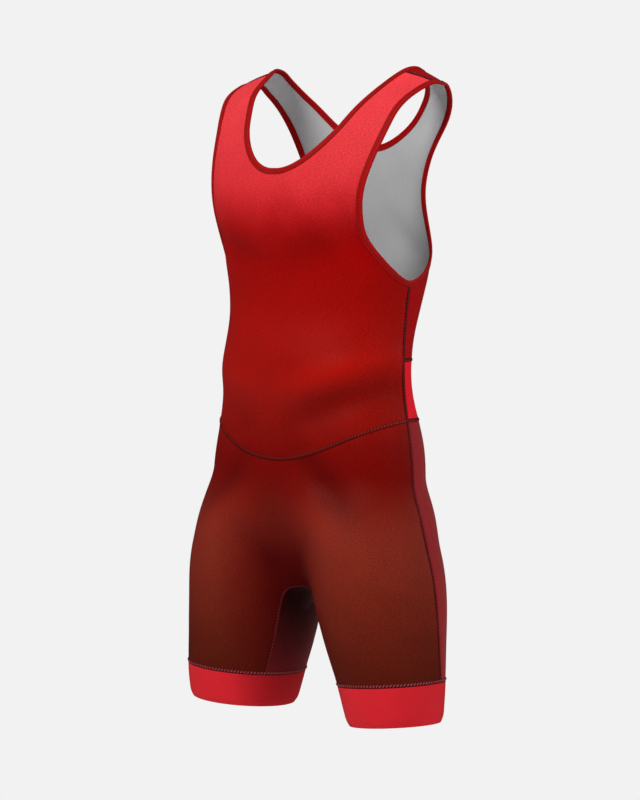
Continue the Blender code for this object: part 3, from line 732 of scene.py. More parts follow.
def creased(grid, facing, folds, inseam_cells):
    """Push the points of half a panel out or in along its normals; also return how far.

    The half runs from the middle line outwards.  Its first column is an edge only along the
    inseam; above that, it is the middle of the cloth, where the normal has no sideways part.
    """
    normals = grid_normals(grid, facing)
    normals[inseam_cells:, 0, 0] = 0.0
    normals = unit(normals)
    from_bottom, from_top, from_inner, from_outer = edge_gaps(grid)
    above_fork = from_bottom - from_bottom[inseam_cells] if inseam_cells else np.inf
    from_inseam = np.hypot(from_inner, np.maximum(above_fork, 0.0))
    edge = np.minimum.reduce([from_bottom, from_top, from_outer, from_inseam])
    fade = np.clip(edge / SEAM_FADE, 0.0, 1.0)
    fade = fade * fade * (3.0 - 2.0 * fade)
    beside = np.exp(-edge / PUCKER_REACH) * (1.0 - np.exp(-(edge / PUCKER_START) ** 2))
    height = fade * (fold_height(grid, folds) + RIPPLE_HEIGHT * LONG_WAVE(grid))
    height += PUCKER_HEIGHT * beside * (1.0 + PUCKER_UNEVEN * SHORT_WAVE(grid))
    height *= 1.0 - np.exp(-(np.linalg.norm(grid - FORK, axis=-1) / FORK_REACH) ** 2)
    return grid + height[..., None] * normals, height


LONG_WAVE = ripples(0.055)
SHORT_WAVE = ripples(0.0095)
PANELS = {
    # name         half grid, facing, folds, cells along the inseam
    "front_upper": (FRONT_UPPER, 1, FRONT_FOLDS, 0),
    "front_lower": (FRONT_LOWER, 1, FRONT_FOLDS, INSEAM_CELLS),
    "back_upper": (BACK_UPPER, -1, BACK_FOLDS, 0),
    "back_waist": (BACK_WAIST, -1, BACK_FOLDS, 0),
    "back_lower": (BACK_LOWER, -1, BACK_FOLDS, INSEAM_CELLS),
}
HALVES = {}
CREASES = {}
for name, (grid, facing, folds, cells) in PANELS.items():
    left, left_height = creased(grid, facing, folds, cells)
    right, right_height = creased(mirrored(grid), -facing, folds, cells)
    HALVES[name] = (left, right)
    CREASES[name] = np.concatenate([left_height.reshape(-1), right_height.reshape(-1)])
print({name: left.shape[:2] for name, (left, right) in HALVES.items()})

# %% [markdown]
# ## From grids to meshes
#
# A grid becomes a mesh of quads, with a UV map in metres that follows the cloth: the knit is
# drawn on it at its real size.  The two halves are merged where they touch, along the middle
# of the panel.

# %% Make a mesh from one or more grids
def cell_corners(values, facing):
    """Return the four corners of each cell of a grid, in an order that faces outwards."""
    around = [values[:-1, :-1], values[:-1, 1:], values[1:, 1:], values[1:, :-1]]
    return np.stack(around[::facing], axis=2)


def add_surface(name, patches, materials, round_rows=False, round_columns=False, creases=None):
    """Add a mesh of quads through grids, each given as (points, uv, facing).

    A round grid's last row or column of cells closes it on its first points; its uv array has
    one row or column more than its points.  "creases" is a value for each point, which the
    materials read as the attribute of the same name and turn into painted light and shade.
    """
    first = 0
    places, faces, corners = [], [], []
    for points, uv, facing in patches:
        rows, columns = points.shape[:2]
        index = first + np.arange(rows * columns).reshape(rows, columns)
        first += rows * columns
        if round_rows:
            index = np.concatenate([index, index[:1]])
        if round_columns:
            index = np.concatenate([index, index[:, :1]], axis=1)
        places.append(points.reshape(-1, 3))
        faces.append(cell_corners(index, facing).reshape(-1, 4))
        corners.append(cell_corners(uv, facing).reshape(-1, 2))
    mesh = bpy.data.meshes.new(name)
    mesh.from_pydata(np.concatenate(places).tolist(), [], np.concatenate(faces).tolist())
    layer = mesh.uv_layers.new(name="Cloth")
    layer.data.foreach_set("uv", np.concatenate(corners).reshape(-1).astype(np.float32))
    if creases is not None:
        layer = mesh.attributes.new("Creases", "FLOAT", "POINT")
        layer.data.foreach_set("value", creases.astype(np.float32))
    if len(patches) > 1:
        work = bmesh.new()
        work.from_mesh(mesh)
        bmesh.ops.remove_doubles(work, verts=work.verts, dist=MERGE_DISTANCE)
        work.to_mesh(mesh)
        work.free()
    for material in materials:
        mesh.materials.append(material)
    mesh.shade_smooth()
    piece = bpy.data.objects.new(name, mesh)
    bpy.context.scene.collection.objects.link(piece)
    return piece


MERGE_DISTANCE = 1e-6


def cloth_uv(points):
    """Return the distances along a grid's rows and columns, in metres, as its UV map."""
    from_bottom, _, from_left, _ = edge_gaps(points)
    return np.stack([from_left, from_bottom], axis=-1)


UV_STEPS = 25               # samples of an arc while its length is summed


def torso_uv(places):
    """Return the UV map of half an upper panel: arc lengths on the torso, in metres.

    The distance across is summed along the row from the middle line to the point, and the
    distance down is summed along the cloth from the shoulder to the point.
    """
    shares = np.linspace(0.0, 1.0, UV_STEPS)[:, None, None]
    row, turn = np.moveaxis(places, -1, 0)
    across = torso_point(np.broadcast_to(row, (UV_STEPS,) + row.shape), shares * turn)
    down = torso_point(shares * row, np.broadcast_to(turn, (UV_STEPS,) + row.shape))
    u = np.linalg.norm(np.diff(across, axis=0), axis=-1).sum(axis=0)
    v = -np.linalg.norm(np.diff(down, axis=0), axis=-1).sum(axis=0)
    return np.stack([u, v], axis=-1)


UVS = {
    "front_upper": torso_uv(FRONT_PLACES),
    "back_upper": torso_uv(BACK_PLACES),
    "back_waist": torso_uv(BAND_PLACES),
    "front_lower": cloth_uv(FRONT_LOWER),
    "back_lower": cloth_uv(BACK_LOWER),
}
print("UV range of the upper front:", UVS["front_upper"].max(axis=(0, 1)).round(3).tolist())

# %% [markdown]
# ## Finishes
#
# All the cloth is one fine stretch knit, so its bump and its slightly uneven dye are one node
# group, used with other values in each material.  The front is printed: its colour runs from a
# bright red at the shoulders to a brown red at the legs, by height alone, and the same ramp
# holds painted highlights on the upper chest and the thighs and painted shade under the chest
# and at the hips.  Painted shade darkens the cloth between the legs, and painted light and
# shade follow the creases.

# %% Node helpers and the knit group
STITCH = 0.0011             # width of a stitch of the knit
COURSE_WAVES = 1.25         # waves of the Vs in the height of one stitch
LEAN_WAVES = 1.6            # waves by which the Vs lean over the width of one stitch
RIB_SHARE = 0.6             # how much of the knit's height is ribs, and how much is Vs
ARM_SHARE = 0.3
DYE_SCALE = 22.0
FLECK_SCALE = 620.0
FLECK_STRETCH = (0.45, 1.3, 1.0)


def new_group(name, inputs, outputs):
    """Return a shader node group with its input and output nodes; each socket is (name, kind, value)."""
    group = bpy.data.node_groups.new(name, "ShaderNodeTree")
    for socket, kind, value in inputs:
        made = group.interface.new_socket(name=socket, in_out="INPUT", socket_type=kind)
        if value is not None:
            made.default_value = value
    for socket, kind in outputs:
        group.interface.new_socket(name=socket, in_out="OUTPUT", socket_type=kind)
    return group, group.nodes.new("NodeGroupInput"), group.nodes.new("NodeGroupOutput")


def node(tree, kind, **settings):
    """Return a new node with some of its settings changed."""
    made = tree.nodes.new(kind)
    for setting, value in settings.items():
        setattr(made, setting, value)
    return made


def maths(tree, operation, first, second=None, clamp=False):
    """Return the output of a Math node; an input is a number or a socket."""
    made = node(tree, "ShaderNodeMath", operation=operation, use_clamp=clamp)
    for socket, value in zip(made.inputs, (first, second)):
        if isinstance(value, bpy.types.NodeSocket):
            tree.links.new(value, socket)
        elif value is not None:
            socket.default_value = value
    return made.outputs[0]


def mixed(tree, blend, share, first, second):
    """Return the output of a colour Mix node."""
    made = node(tree, "ShaderNodeMix", data_type="RGBA", blend_type=blend)
    for socket, value in ((made.inputs[0], share), (made.inputs[6], first), (made.inputs[7], second)):
        if isinstance(value, bpy.types.NodeSocket):
            tree.links.new(value, socket)
        elif value is not None:
            socket.default_value = value
    return made.outputs[2]


def noise(tree, vector, scale, detail=2.0, stretch=None):
    """Return the value of a noise texture, whose vector may be stretched first."""
    if stretch:
        mapping = node(tree, "ShaderNodeMapping")
        mapping.inputs["Scale"].default_value = stretch
        tree.links.new(vector, mapping.inputs["Vector"])
        vector = mapping.outputs[0]
    made = node(tree, "ShaderNodeTexNoise")
    made.inputs["Scale"].default_value = scale
    made.inputs["Detail"].default_value = detail
    tree.links.new(vector, made.inputs["Vector"])
    return made.outputs["Fac"]


def knit_group():
    """Return the group that draws the knit: its height, its uneven dye and its fine flecks.

    A knit shows columns of little V shapes.  The height is |sin| across the columns, with the
    arms of each V as a second wave that slants one way and then the other.
    """
    group, given, result = new_group(
        "stretch_knit",
        [("Vector", "NodeSocketVector", None), ("Stitch", "NodeSocketFloat", STITCH)],
        [("Height", "NodeSocketFloat"), ("Dye", "NodeSocketFloat"), ("Flecks", "NodeSocketFloat")],
    )
    parts = node(group, "ShaderNodeSeparateXYZ")
    group.links.new(given.outputs["Vector"], parts.inputs[0])
    column = maths(group, "DIVIDE", parts.outputs[0], given.outputs["Stitch"])
    course = maths(group, "DIVIDE", parts.outputs[1], given.outputs["Stitch"])
    half = maths(group, "PINGPONG", column, 0.5)
    rise = maths(group, "MULTIPLY", course, COURSE_WAVES)
    slant = maths(group, "ADD", rise, maths(group, "MULTIPLY", half, LEAN_WAVES))
    arms = maths(group, "SINE", maths(group, "MULTIPLY", slant, 2.0 * np.pi))
    ribs = maths(group, "SINE", maths(group, "MULTIPLY", half, 2.0 * np.pi))
    ribs = maths(group, "MULTIPLY", ribs, RIB_SHARE)
    height = maths(group, "ADD", ribs, maths(group, "MULTIPLY", arms, ARM_SHARE))
    group.links.new(height, result.inputs["Height"])
    group.links.new(noise(group, given.outputs["Vector"], DYE_SCALE, 3.0), result.inputs["Dye"])
    flecks = noise(group, given.outputs["Vector"], FLECK_SCALE, 2.0, FLECK_STRETCH)
    group.links.new(flecks, result.inputs["Flecks"])
    return group


KNIT = knit_group()
print("group sockets:", [item.name for item in KNIT.interface.items_tree])

# %% Cloth materials
ROUGHNESS = 0.52
GLOSS = 0.06                # as the specular level of the shader
KNIT_BUMP = 0.00007
# Painted shade between the legs: below a set height the colour darkens towards the middle line.
PAINTED_LEG_SHADE_REACH = 0.100
PAINTED_LEG_SHADE_TOP = -0.50           # the shade between the legs starts at this height
PAINTED_LEG_SHADE_FADE = 0.12
PAINTED_LEG_SHADE_SPREAD = 1.4          # above 1, the full shade reaches a little to each side
# Painted light and shade from the creases: ridges are painted lighter and troughs darker.
PAINTED_CREASE_SHADE = 55.0         # the colour gains this share for each metre a crease stands out
DYE_DEPTH = 0.16            # full range of the uneven dye, as a share of the colour
RAMP_WOBBLE = 0.02          # and how far it moves the print's colours up or down


def linear(*colour):
    """Return a colour given in 0 to 255, as read on a screen, in Blender's linear values."""
    share = np.array(colour, dtype=float) / 255.0
    values = np.where(share <= 0.04045, share / 12.92, ((share + 0.055) / 1.055) ** 2.4)
    return (*values.tolist(), 1.0)


def cloth_material(name, colour=None, ramp=None, sheen=0.02, flecks=0.60, stitch=STITCH, inner=None):
    """Return a knit material of one colour, or of a ramp of colours by height.

    The colour is multiplied by 1 plus or minus the dye, the flecks and the creases' height; the
    creases' part is painted light and shade, lighter on ridges and darker in troughs.  A ramp
    is a list of (height in metres, colour), from low to high.  Between the legs the colour turns
    to "inner", a painted shade, in full on the middle line and not at all the shade's reach away
    from it.
    """
    material = bpy.data.materials.new(name)
    material.use_nodes = True
    tree = material.node_tree
    shader = tree.nodes["Principled BSDF"]
    shader.inputs["Roughness"].default_value = ROUGHNESS
    shader.inputs["Specular IOR Level"].default_value = GLOSS
    shader.inputs["Specular Tint"].default_value = (1.0, 0.62, 0.55, 1.0)
    shader.inputs["Sheen Weight"].default_value = sheen
    shader.inputs["Sheen Roughness"].default_value = 0.45
    shader.inputs["Sheen Tint"].default_value = (1.0, 0.45, 0.40, 1.0)
    cloth = node(tree, "ShaderNodeUVMap", uv_map="Cloth")
    knit = node(tree, "ShaderNodeGroup", node_tree=KNIT)
    knit.inputs["Stitch"].default_value = stitch
    tree.links.new(cloth.outputs["UV"], knit.inputs["Vector"])
    place = node(tree, "ShaderNodeTexCoord")
    parts = node(tree, "ShaderNodeSeparateXYZ")
    tree.links.new(place.outputs["Object"], parts.inputs[0])
    if ramp:
        low, high = ramp[0][0], ramp[-1][0]
        wobble = maths(tree, "SUBTRACT", knit.outputs["Dye"], 0.5)
        wobble = maths(tree, "MULTIPLY", wobble, RAMP_WOBBLE)
        height = maths(tree, "ADD", parts.outputs[2], wobble)
        share = maths(tree, "DIVIDE", maths(tree, "SUBTRACT", height, low), high - low, clamp=True)
        colours = node(tree, "ShaderNodeValToRGB")
        colours.color_ramp.interpolation = "B_SPLINE"
        stops = colours.color_ramp.elements
        while len(stops) < len(ramp):
            stops.new(0.5)
        for stop, (level, value) in zip(stops, ramp):
            stop.position = (level - low) / (high - low)
            stop.color = linear(*value)
        tree.links.new(share, colours.inputs["Fac"])
        base = colours.outputs["Color"]
    else:
        base = linear(*colour)
    uneven = maths(tree, "SUBTRACT", knit.outputs["Dye"], 0.5)
    uneven = maths(tree, "MULTIPLY", uneven, DYE_DEPTH)
    speckle = maths(tree, "MULTIPLY", maths(tree, "SUBTRACT", knit.outputs["Flecks"], 0.5), flecks * 2.0)
    # Painted light and shade: the colour is lighter on the creases' ridges and darker in their troughs.
    creases = node(tree, "ShaderNodeAttribute", attribute_name="Creases")
    painted_crease_light = maths(tree, "ADD", maths(tree, "MULTIPLY", creases.outputs["Fac"], PAINTED_CREASE_SHADE), 1.0)
    factor = maths(tree, "ADD", maths(tree, "ADD", uneven, speckle), painted_crease_light)
    # Painted shade: between the legs the colour turns to the darker "inner" colour.
    if inner:
        beside = maths(tree, "DIVIDE", maths(tree, "ABSOLUTE", parts.outputs[0]), PAINTED_LEG_SHADE_REACH)
        near = maths(tree, "MULTIPLY", maths(tree, "SUBTRACT", 1.0, beside), PAINTED_LEG_SHADE_SPREAD, clamp=True)
        below = maths(tree, "SUBTRACT", PAINTED_LEG_SHADE_TOP, parts.outputs[2])
        below = maths(tree, "DIVIDE", below, PAINTED_LEG_SHADE_FADE, clamp=True)
        base = mixed(tree, "MIX", maths(tree, "MULTIPLY", near, below), base, linear(*inner))
    grey = node(tree, "ShaderNodeCombineColor")
    for socket in grey.inputs[:3]:
        tree.links.new(factor, socket)
    tree.links.new(mixed(tree, "MULTIPLY", 1.0, base, grey.outputs[0]), shader.inputs["Base Color"])
    lift = node(tree, "ShaderNodeBump")
    lift.inputs["Strength"].default_value = 0.5
    lift.inputs["Distance"].default_value = KNIT_BUMP
    tree.links.new(knit.outputs["Height"], lift.inputs["Height"])
    tree.links.new(lift.outputs["Normal"], shader.inputs["Normal"])
    return material


def thread_material(name, colour):
    """Return the material of a thread: its colour with fine noise, and a slight gloss."""
    material = bpy.data.materials.new(name)
    material.use_nodes = True
    tree = material.node_tree
    shader = tree.nodes["Principled BSDF"]
    shader.inputs["Roughness"].default_value = 0.5
    place = node(tree, "ShaderNodeTexCoord")
    grain = noise(tree, place.outputs["Object"], 900.0, 1.0)
    factor = maths(tree, "ADD", maths(tree, "MULTIPLY", grain, 0.5), 0.75)
    grey = node(tree, "ShaderNodeCombineColor")
    for socket in grey.inputs[:3]:
        tree.links.new(factor, socket)
    grained = mixed(tree, "MULTIPLY", 1.0, linear(*colour), grey.outputs[0])
    tree.links.new(grained, shader.inputs["Base Color"])
    return material


# The front's print runs from bright red at the shoulders to brown red at the legs.  The pinkish stops at
# the top are a painted highlight on the upper chest, the paler stops at -0.66 and -0.58 are a painted
# highlight on the thighs, and the darker stops under the chest and at the hips are painted shade.
FRONT_PRINT_AND_LIGHT_RAMP = [
    (-0.770, (70, 16, 5)),
    (-0.660, (110, 32, 18)),
    (-0.580, (124, 39, 26)),
    (-0.530, (104, 2, 0)),
    (-0.480, (108, 2, 0)),
    (-0.440, (132, 13, 6)),
    (-0.330, (148, 8, 3)),
    (-0.240, (142, 0, 0)),
    (-0.195, (154, 0, 0)),
    (-0.145, (202, 42, 48)),
    (-0.050, (208, 54, 60)),
    (0.000, (234, 60, 66)),
]
WAIST_SEAM_RAMP = [(-0.480, (84, 6, 3)), (-0.455, (98, 10, 5)), (-0.440, (116, 16, 10))]
# Painted shadow in the groove along one side of the waist seam.
WAIST_SEAM_SHADOW_RAMP = [(-0.480, (74, 3, 1)), (-0.455, (88, 5, 2)), (-0.440, (104, 10, 6))]
# The inside is one plain grey.  Its changes by height are painted light and shade: paler low down, where
# the inside lies in shade, and darker at about 0.14 m down.
INSIDE_PAINTED_LIGHT_RAMP = [
    (-0.300, (186, 186, 187)),
    (-0.200, (186, 186, 187)),
    (-0.140, (158, 158, 159)),
    (-0.070, (176, 176, 177)),
    (0.000, (190, 190, 191)),
]
# Each "inner" colour is painted shade between the legs.
FINISHES = {
    "front": cloth_material("front_print_and_painted_light_knit", ramp=FRONT_PRINT_AND_LIGHT_RAMP, inner=(82, 0, 0)),
    "back": cloth_material("back_red_knit", (152, 2, 6)),
    "waist": cloth_material("waist_red_knit", (218, 18, 36), flecks=0.3),
    "seat": cloth_material("seat_burgundy_knit", (136, 26, 32), sheen=0.16, inner=(34, 0, 2)),
    "cuff": cloth_material("cuff_red_knit", (200, 32, 42), flecks=0.14, inner=(110, 0, 0)),
    "inside": cloth_material("inside_grey", ramp=INSIDE_PAINTED_LIGHT_RAMP, flecks=0.2),
    "tape": cloth_material("tape_red", (158, 12, 14), flecks=0.16, stitch=0.0008),
    "tape_stitched": cloth_material("tape_dark_red", (144, 10, 8), flecks=0.16, stitch=0.0008),
    "tape_inside": cloth_material("tape_maroon", (150, 6, 10), flecks=0.16, stitch=0.0008),
    "seam": cloth_material("seam_maroon", (100, 14, 16), flecks=0.2, stitch=0.0008),
    # The seam's shadow finish is a painted shadow in its groove.
    "seam_groove_shadow": cloth_material("seam_shadow", (68, 5, 8), flecks=0.2, stitch=0.0008),
    "waist_seam": cloth_material("seam_brown_red", ramp=WAIST_SEAM_RAMP, flecks=0.2, stitch=0.0008),
    "waist_groove_shadow": cloth_material("seam_brown_shadow", ramp=WAIST_SEAM_SHADOW_RAMP, flecks=0.2, stitch=0.0008),
    "thread": thread_material("seam_thread", (98, 16, 18)),
    "waist_thread": thread_material("waist_thread", (112, 24, 18)),
    "cuff_thread": thread_material("cuff_thread", (136, 80, 80)),
    "tape_thread": thread_material("tape_thread", (112, 8, 8)),
}
print("materials:", sorted(material.name for material in FINISHES.values()))

# %% [markdown]
# ## The five body panels
#
# Each panel is one sheet: an outer face, and an inner face that Solidify makes.  The material
# offset of Solidify gives that inner face the second slot, the plain grey back of the print.

# %% Add the panels
CLOTH_THICKNESS = 2.0 * OUTER_FACE
PANEL_FINISH = {
    "front_upper": ("front", "front_print"),
    "front_lower": ("front", "front_print"),
    "back_upper": ("back", "back_red"),
    "back_waist": ("waist", "waist_red"),
    "back_lower": ("seat", "seat_burgundy"),
}


def thicken(piece, thickness=CLOTH_THICKNESS):
    """Give a sheet its thickness, half on each side, with the second material inside."""
    wall = piece.modifiers.new("Cloth", "SOLIDIFY")
    wall.thickness = thickness
    wall.offset = 0.0
    wall.material_offset = 1
    wall.material_offset_rim = 1


def held(piece, slot, *nodes):
    """Let a piece ride on the garment's one body and stand for nodes, whose parts are hidden.

    The slot is not used.
    """
    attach(piece, "root")
    if nodes:
        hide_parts(*nodes)


SHEETS = {}
for name, (left, right) in HALVES.items():
    facing = PANELS[name][1]
    uv = UVS[name]
    finish, slot = PANEL_FINISH[name]
    patches = [(left, uv, facing), (right, uv * [-1.0, 1.0], -facing)]
    materials = [FINISHES[finish], FINISHES["inside"]]
    SHEETS[name] = add_surface(name + "_cloth", patches, materials, creases=CREASES[name])
    thicken(SHEETS[name])
    held(SHEETS[name], slot, name)
print({name: len(piece.data.polygons) for name, piece in SHEETS.items()})

# %% [markdown]
# ## The leg bands
#
# Each leg ends in a band of doubled cloth that grips the thigh.  Its section is a profile that
# runs down the outside, round the fold at the hem and up the inside, carried round the leg.

# %% Add the leg bands
BAND_HALF = 0.0008          # half the thickness of the doubled cloth
BAND_ROWS = 14
BAND_EDGE = 0.3             # share of its thickness that the band has under the seam
HEM_STEPS = 7
HEM_CURL = 0.0024           # the hem turns in by this much
HEM_START = 0.78            # share of the band's height where it begins to turn in
BAND_BULGE = 0.0005
BAND_WAVE = 0.0003
BAND_WAVE_STRETCH = 0.35    # the band's waves are longer than a panel's, by 1 over this
BAND_TURNS = 176


def band_surface(side):
    """Return the closed surface of a leg band: rings at equal steps, each moved out or in.

    The outer side bulges a little between the seam and the hem, as a sine of the height.
    """
    turns = np.linspace(INSEAM_TURN, INSEAM_TURN + 360.0, BAND_TURNS, endpoint=False)
    drops = np.linspace(CUFF_DROP, HEM_DROPS[side], BAND_ROWS + 1)
    rings = onto_figure(np.stack([band_ring(drop, turns) for drop in drops]))
    if side == "right":
        rings = mirrored(rings)
    facing = 1 if side == "right" else -1
    normals = grid_normals(rings, facing, round_columns=True)
    height = np.linspace(0.0, 1.0, BAND_ROWS + 1)[:, None, None]
    bulge = BAND_BULGE * np.sin(np.pi * height)
    wave = BAND_WAVE * SHORT_WAVE(rings * BAND_WAVE_STRETCH)[..., None] * np.sin(np.pi * height)
    bulge = bulge - HEM_CURL * np.clip((height - HEM_START) / (1.0 - HEM_START), 0.0, 1.0) ** 2
    thick = BAND_HALF * np.clip(BAND_EDGE + BAND_ROWS * height, 0.0, 1.0)
    outer = rings + (thick + bulge + wave) * normals
    inner = rings + (bulge + wave - BAND_HALF) * normals
    angle = np.linspace(0.0, np.pi, HEM_STEPS + 2)[1:-1, None, None]
    down = unit(rings[-1] - rings[-2])
    round_hem = BAND_HALF * (np.cos(angle) * normals[-1] + np.sin(angle) * down)
    hem = rings[-1] - HEM_CURL * normals[-1] + round_hem
    return np.concatenate([outer, hem, inner[::-1]]), facing


def round_uv(points):
    """Return the UV map of a grid whose columns and rows close: distances, in metres."""
    closed = np.concatenate([points, points[:1]])
    closed = np.concatenate([closed, closed[:, :1]], axis=1)
    return cloth_uv(closed)


for side in HEM_DROPS:
    name = "cuff_" + side
    points, facing = band_surface(side)
    patch = (points, round_uv(points), facing)
    SHEETS[name] = add_surface(
        name + "_cloth", [patch], [FINISHES["cuff"]], round_rows=True, round_columns=True
    )
    held(SHEETS[name], "cuff_red", name)
print("rings in a band:", len(points))

# %% [markdown]
# ## Folded tape round the openings
#
# The neck and the armholes are bound with a strip folded over the raw edge.  It is a profile
# carried along the opening: how far into the cloth, and how high above its middle.  It is
# narrow and round at the fold, and sinks where two rows of stitches hold it down.

# %% The profile of the tape
TAPE_PROFILE = (
    # name              into the cloth, height
    ("stitched edge", 0.00800, 0.00055),
    ("edge top", 0.00785, 0.00125),
    ("edge shoulder", 0.00735, 0.00150),
    ("stitched row", 0.00640, 0.00128),
    ("between rows", 0.00500, 0.00158),
    ("second row", 0.00370, 0.00135),
    ("fold start", 0.00270, 0.00178),
    ("fold top", 0.00150, 0.00196),
    ("fold outside", 0.00040, 0.00170),
    ("fold corner", -0.00025, 0.00105),
    ("fold end", -0.00050, 0.00000),
)
OPEN_SAMPLES = 200          # rings of the tape in each half of its length
PROFILE_SAMPLES = 21        # points of the profile's outer half


def tape_profile():
    """Return the closed profile: the outer half smoothed by a spline, then its mirror inside."""
    half = spline(numbers(TAPE_PROFILE))(np.linspace(0.0, len(TAPE_PROFILE) - 1.0, PROFILE_SAMPLES))
    return np.concatenate([half, half[-2::-1] * [1.0, -1.0]])


def tape_lines(edge, side, widths):
    """Return the points of lines at several widths inside an edge, at even steps along it."""
    on_torso = torso_point(*edge.T)
    halves = [spread(on_torso[:FINE], OPEN_SAMPLES), FINE - 1 + spread(on_torso[FINE - 1:], OPEN_SAMPLES)]
    places = np.concatenate([halves[0], halves[1][1:]])
    lines = [pick(moved_inwards(edge, width, side), places) for width in widths]
    return np.stack(lines, axis=1)


def torso_normals(places):
    """Return the outward normals of the torso at rows and turns."""
    by_row, by_turn = surface_steps(places.reshape(-1, 2))
    return unit(np.cross(by_row, by_turn)).reshape(places.shape[:-1] + (3,))


def tape_grid(edge, side):
    """Return a tape's grid of points: the torso's point at each width, plus height times normal."""
    profile = tape_profile()
    places = tape_lines(edge, side, profile[:, 0])
    normals = torso_normals(places)
    outward = np.sign(np.sum(normals[0, 0] * torso_point(*places[0, 0]) * [1.0, 1.0, 0.0]))
    return torso_point(*np.moveaxis(places, -1, 0)) + profile[:, 1][:, None] * normals * outward, profile


ARM_GRID, PROFILE = tape_grid(ARM_LINE, -1.0)
NECK_GRID, _ = tape_grid(NECK_LINE, 1.0)
print("tape grids:", ARM_GRID.shape, NECK_GRID.shape)

# %% Add the three tapes
FOLD_WIDTH = 0.0033         # the bright fold ends where the stitched half of the tape begins
INSIDE_BELOW = -0.0004      # faces of the profile lower than this are inside the garment


def tube_facing(points):
    """Return 1 where a tube's grid already faces away from the middle of its profile, or -1."""
    normals = grid_normals(points, 1, round_rows=True, round_columns=True)
    outwards = points - points.mean(axis=1, keepdims=True)
    return 1 if np.sum(normals * outwards) > 0.0 else -1


def add_tape(name, points, profile):
    """Add a tape: the stitched outer half, the fold and the inside are three finishes."""
    facing = tube_facing(points)
    finishes = [FINISHES["tape_stitched"], FINISHES["tape"], FINISHES["tape_inside"]]
    patch = (points, round_uv(points), facing)
    piece = add_surface(name + "_tape", [patch], finishes, round_rows=True, round_columns=True)
    into, height = profile.T
    after = np.roll(into, -1)
    middle = (into + after) / 2.0
    above = (height + np.roll(height, -1)) / 2.0
    finish = np.where(above < INSIDE_BELOW, 2, np.where(middle < FOLD_WIDTH, 1, 0))
    piece.data.polygons.foreach_set("material_index", np.tile(finish, len(points)).astype(np.int32))
    held(piece, "binding_red", name)
    return piece


arm_ring = ARM_GRID[:-1].copy()
arm_ring[0] = (ARM_GRID[0] + ARM_GRID[-1]) / 2.0
neck_ring = np.concatenate([NECK_GRID, mirrored(NECK_GRID)[-2:0:-1]])
SHEETS["armhole_binding_left"] = add_tape("armhole_binding_left", arm_ring, PROFILE)
SHEETS["armhole_binding_right"] = add_tape("armhole_binding_right", mirrored(arm_ring), PROFILE)
SHEETS["neck_binding"] = add_tape("neck_binding", neck_ring, PROFILE)
print("rings of tape:", len(arm_ring), "and", len(neck_ring))

# %% [markdown]
# ## Flat seams
#
# The panels are joined edge to edge under a flat covering of thread, about 5 mm wide, so that
# nothing rubs.  Each seam is a low strip carried along the line where two panels meet, with
# threads laid over it: a few segments each, all worked out in one array.

# %% Strips along the seams
SEAM_HALF_WIDTH = 0.0024
SEAM_PROFILE = (
    # name         share across, height
    ("front edge", -1.00, 0.00030),
    ("front lip", -0.95, 0.00078),
    ("front flat", -0.75, 0.00094),
    ("groove", -0.40, 0.00078),
    ("middle", 0.00, 0.00112),
    ("back groove", 0.58, 0.00086),
    ("back flat", 0.80, 0.00100),
    ("back lip", 0.97, 0.00078),
    ("back edge", 1.00, 0.00030),
    ("under", 0.00, 0.00000),
)
SEAM_STEP = 0.002
# Painted shadow: the seam's columns as far as its groove take the darker finish.
GROOVE_SHADOW_COLUMNS = 3            # a seam is darker as far as its groove
SHOULDER_INSET = 0.0065     # the shoulder seam ends this far inside the tapes' folds
SHOULDER_POINTS = 24


def even_line(points, step=SEAM_STEP, closed=False):
    """Return a smooth line through points, with a point about every step."""
    if closed:
        points = np.concatenate([points, points[:1]])
    cells = int(round(lengths(points)[-1] / step))
    line = pick(points, spread(points, cells))
    return line[:-1] if closed else line


def line_frame(line, normals, closed=False):
    """Return the directions along a line and across it, on the cloth."""
    if closed:
        along = unit(np.roll(line, -1, axis=0) - np.roll(line, 1, axis=0))
    else:
        along = unit(np.gradient(line, axis=0))
    return along, unit(np.cross(normals, along))


def add_strip(name, line, normals, finishes, closed=False):
    """Add a seam's strip: the profile across the line, at its height above the cloth."""
    _, across = line_frame(line, normals, closed)
    share, height = numbers(SEAM_PROFILE).T
    points = line[:, None] + SEAM_HALF_WIDTH * share[:, None] * across[:, None]
    points = points + height[:, None] * normals[:, None]
    if closed:
        patch = (points, round_uv(points), tube_facing(points))
        piece = add_surface(name, [patch], finishes, round_rows=True, round_columns=True)
    else:
        low = points[:1].mean(axis=1, keepdims=True) + 0.0 * points[:1]
        high = points[-1:].mean(axis=1, keepdims=True) + 0.0 * points[-1:]
        points = np.concatenate([low, points, high])
        facing = tube_facing(points[1:-1])
        columns = np.concatenate([points, points[:, :1]], axis=1)
        piece = add_surface(name, [(points, cloth_uv(columns), facing)], finishes, round_columns=True)
        close_ends(piece)
    dark = np.arange(len(share)) < GROOVE_SHADOW_COLUMNS
    rows = len(piece.data.polygons) // len(share)
    if rows * len(share) == len(piece.data.polygons):
        piece.data.polygons.foreach_set("material_index", np.tile(dark, rows).astype(np.int32))
    return piece


def close_ends(piece):
    """Merge the rings that were drawn together into one point at each end of a strip."""
    work = bmesh.new()
    work.from_mesh(piece.data)
    bmesh.ops.remove_doubles(work, verts=work.verts, dist=MERGE_DISTANCE)
    work.to_mesh(piece.data)
    work.free()


def on_skin(line):
    """Return a line moved onto the figure, with the skin's outward normals there."""
    line = onto_figure(line, 3)
    return line, unit(figure_slope(line))


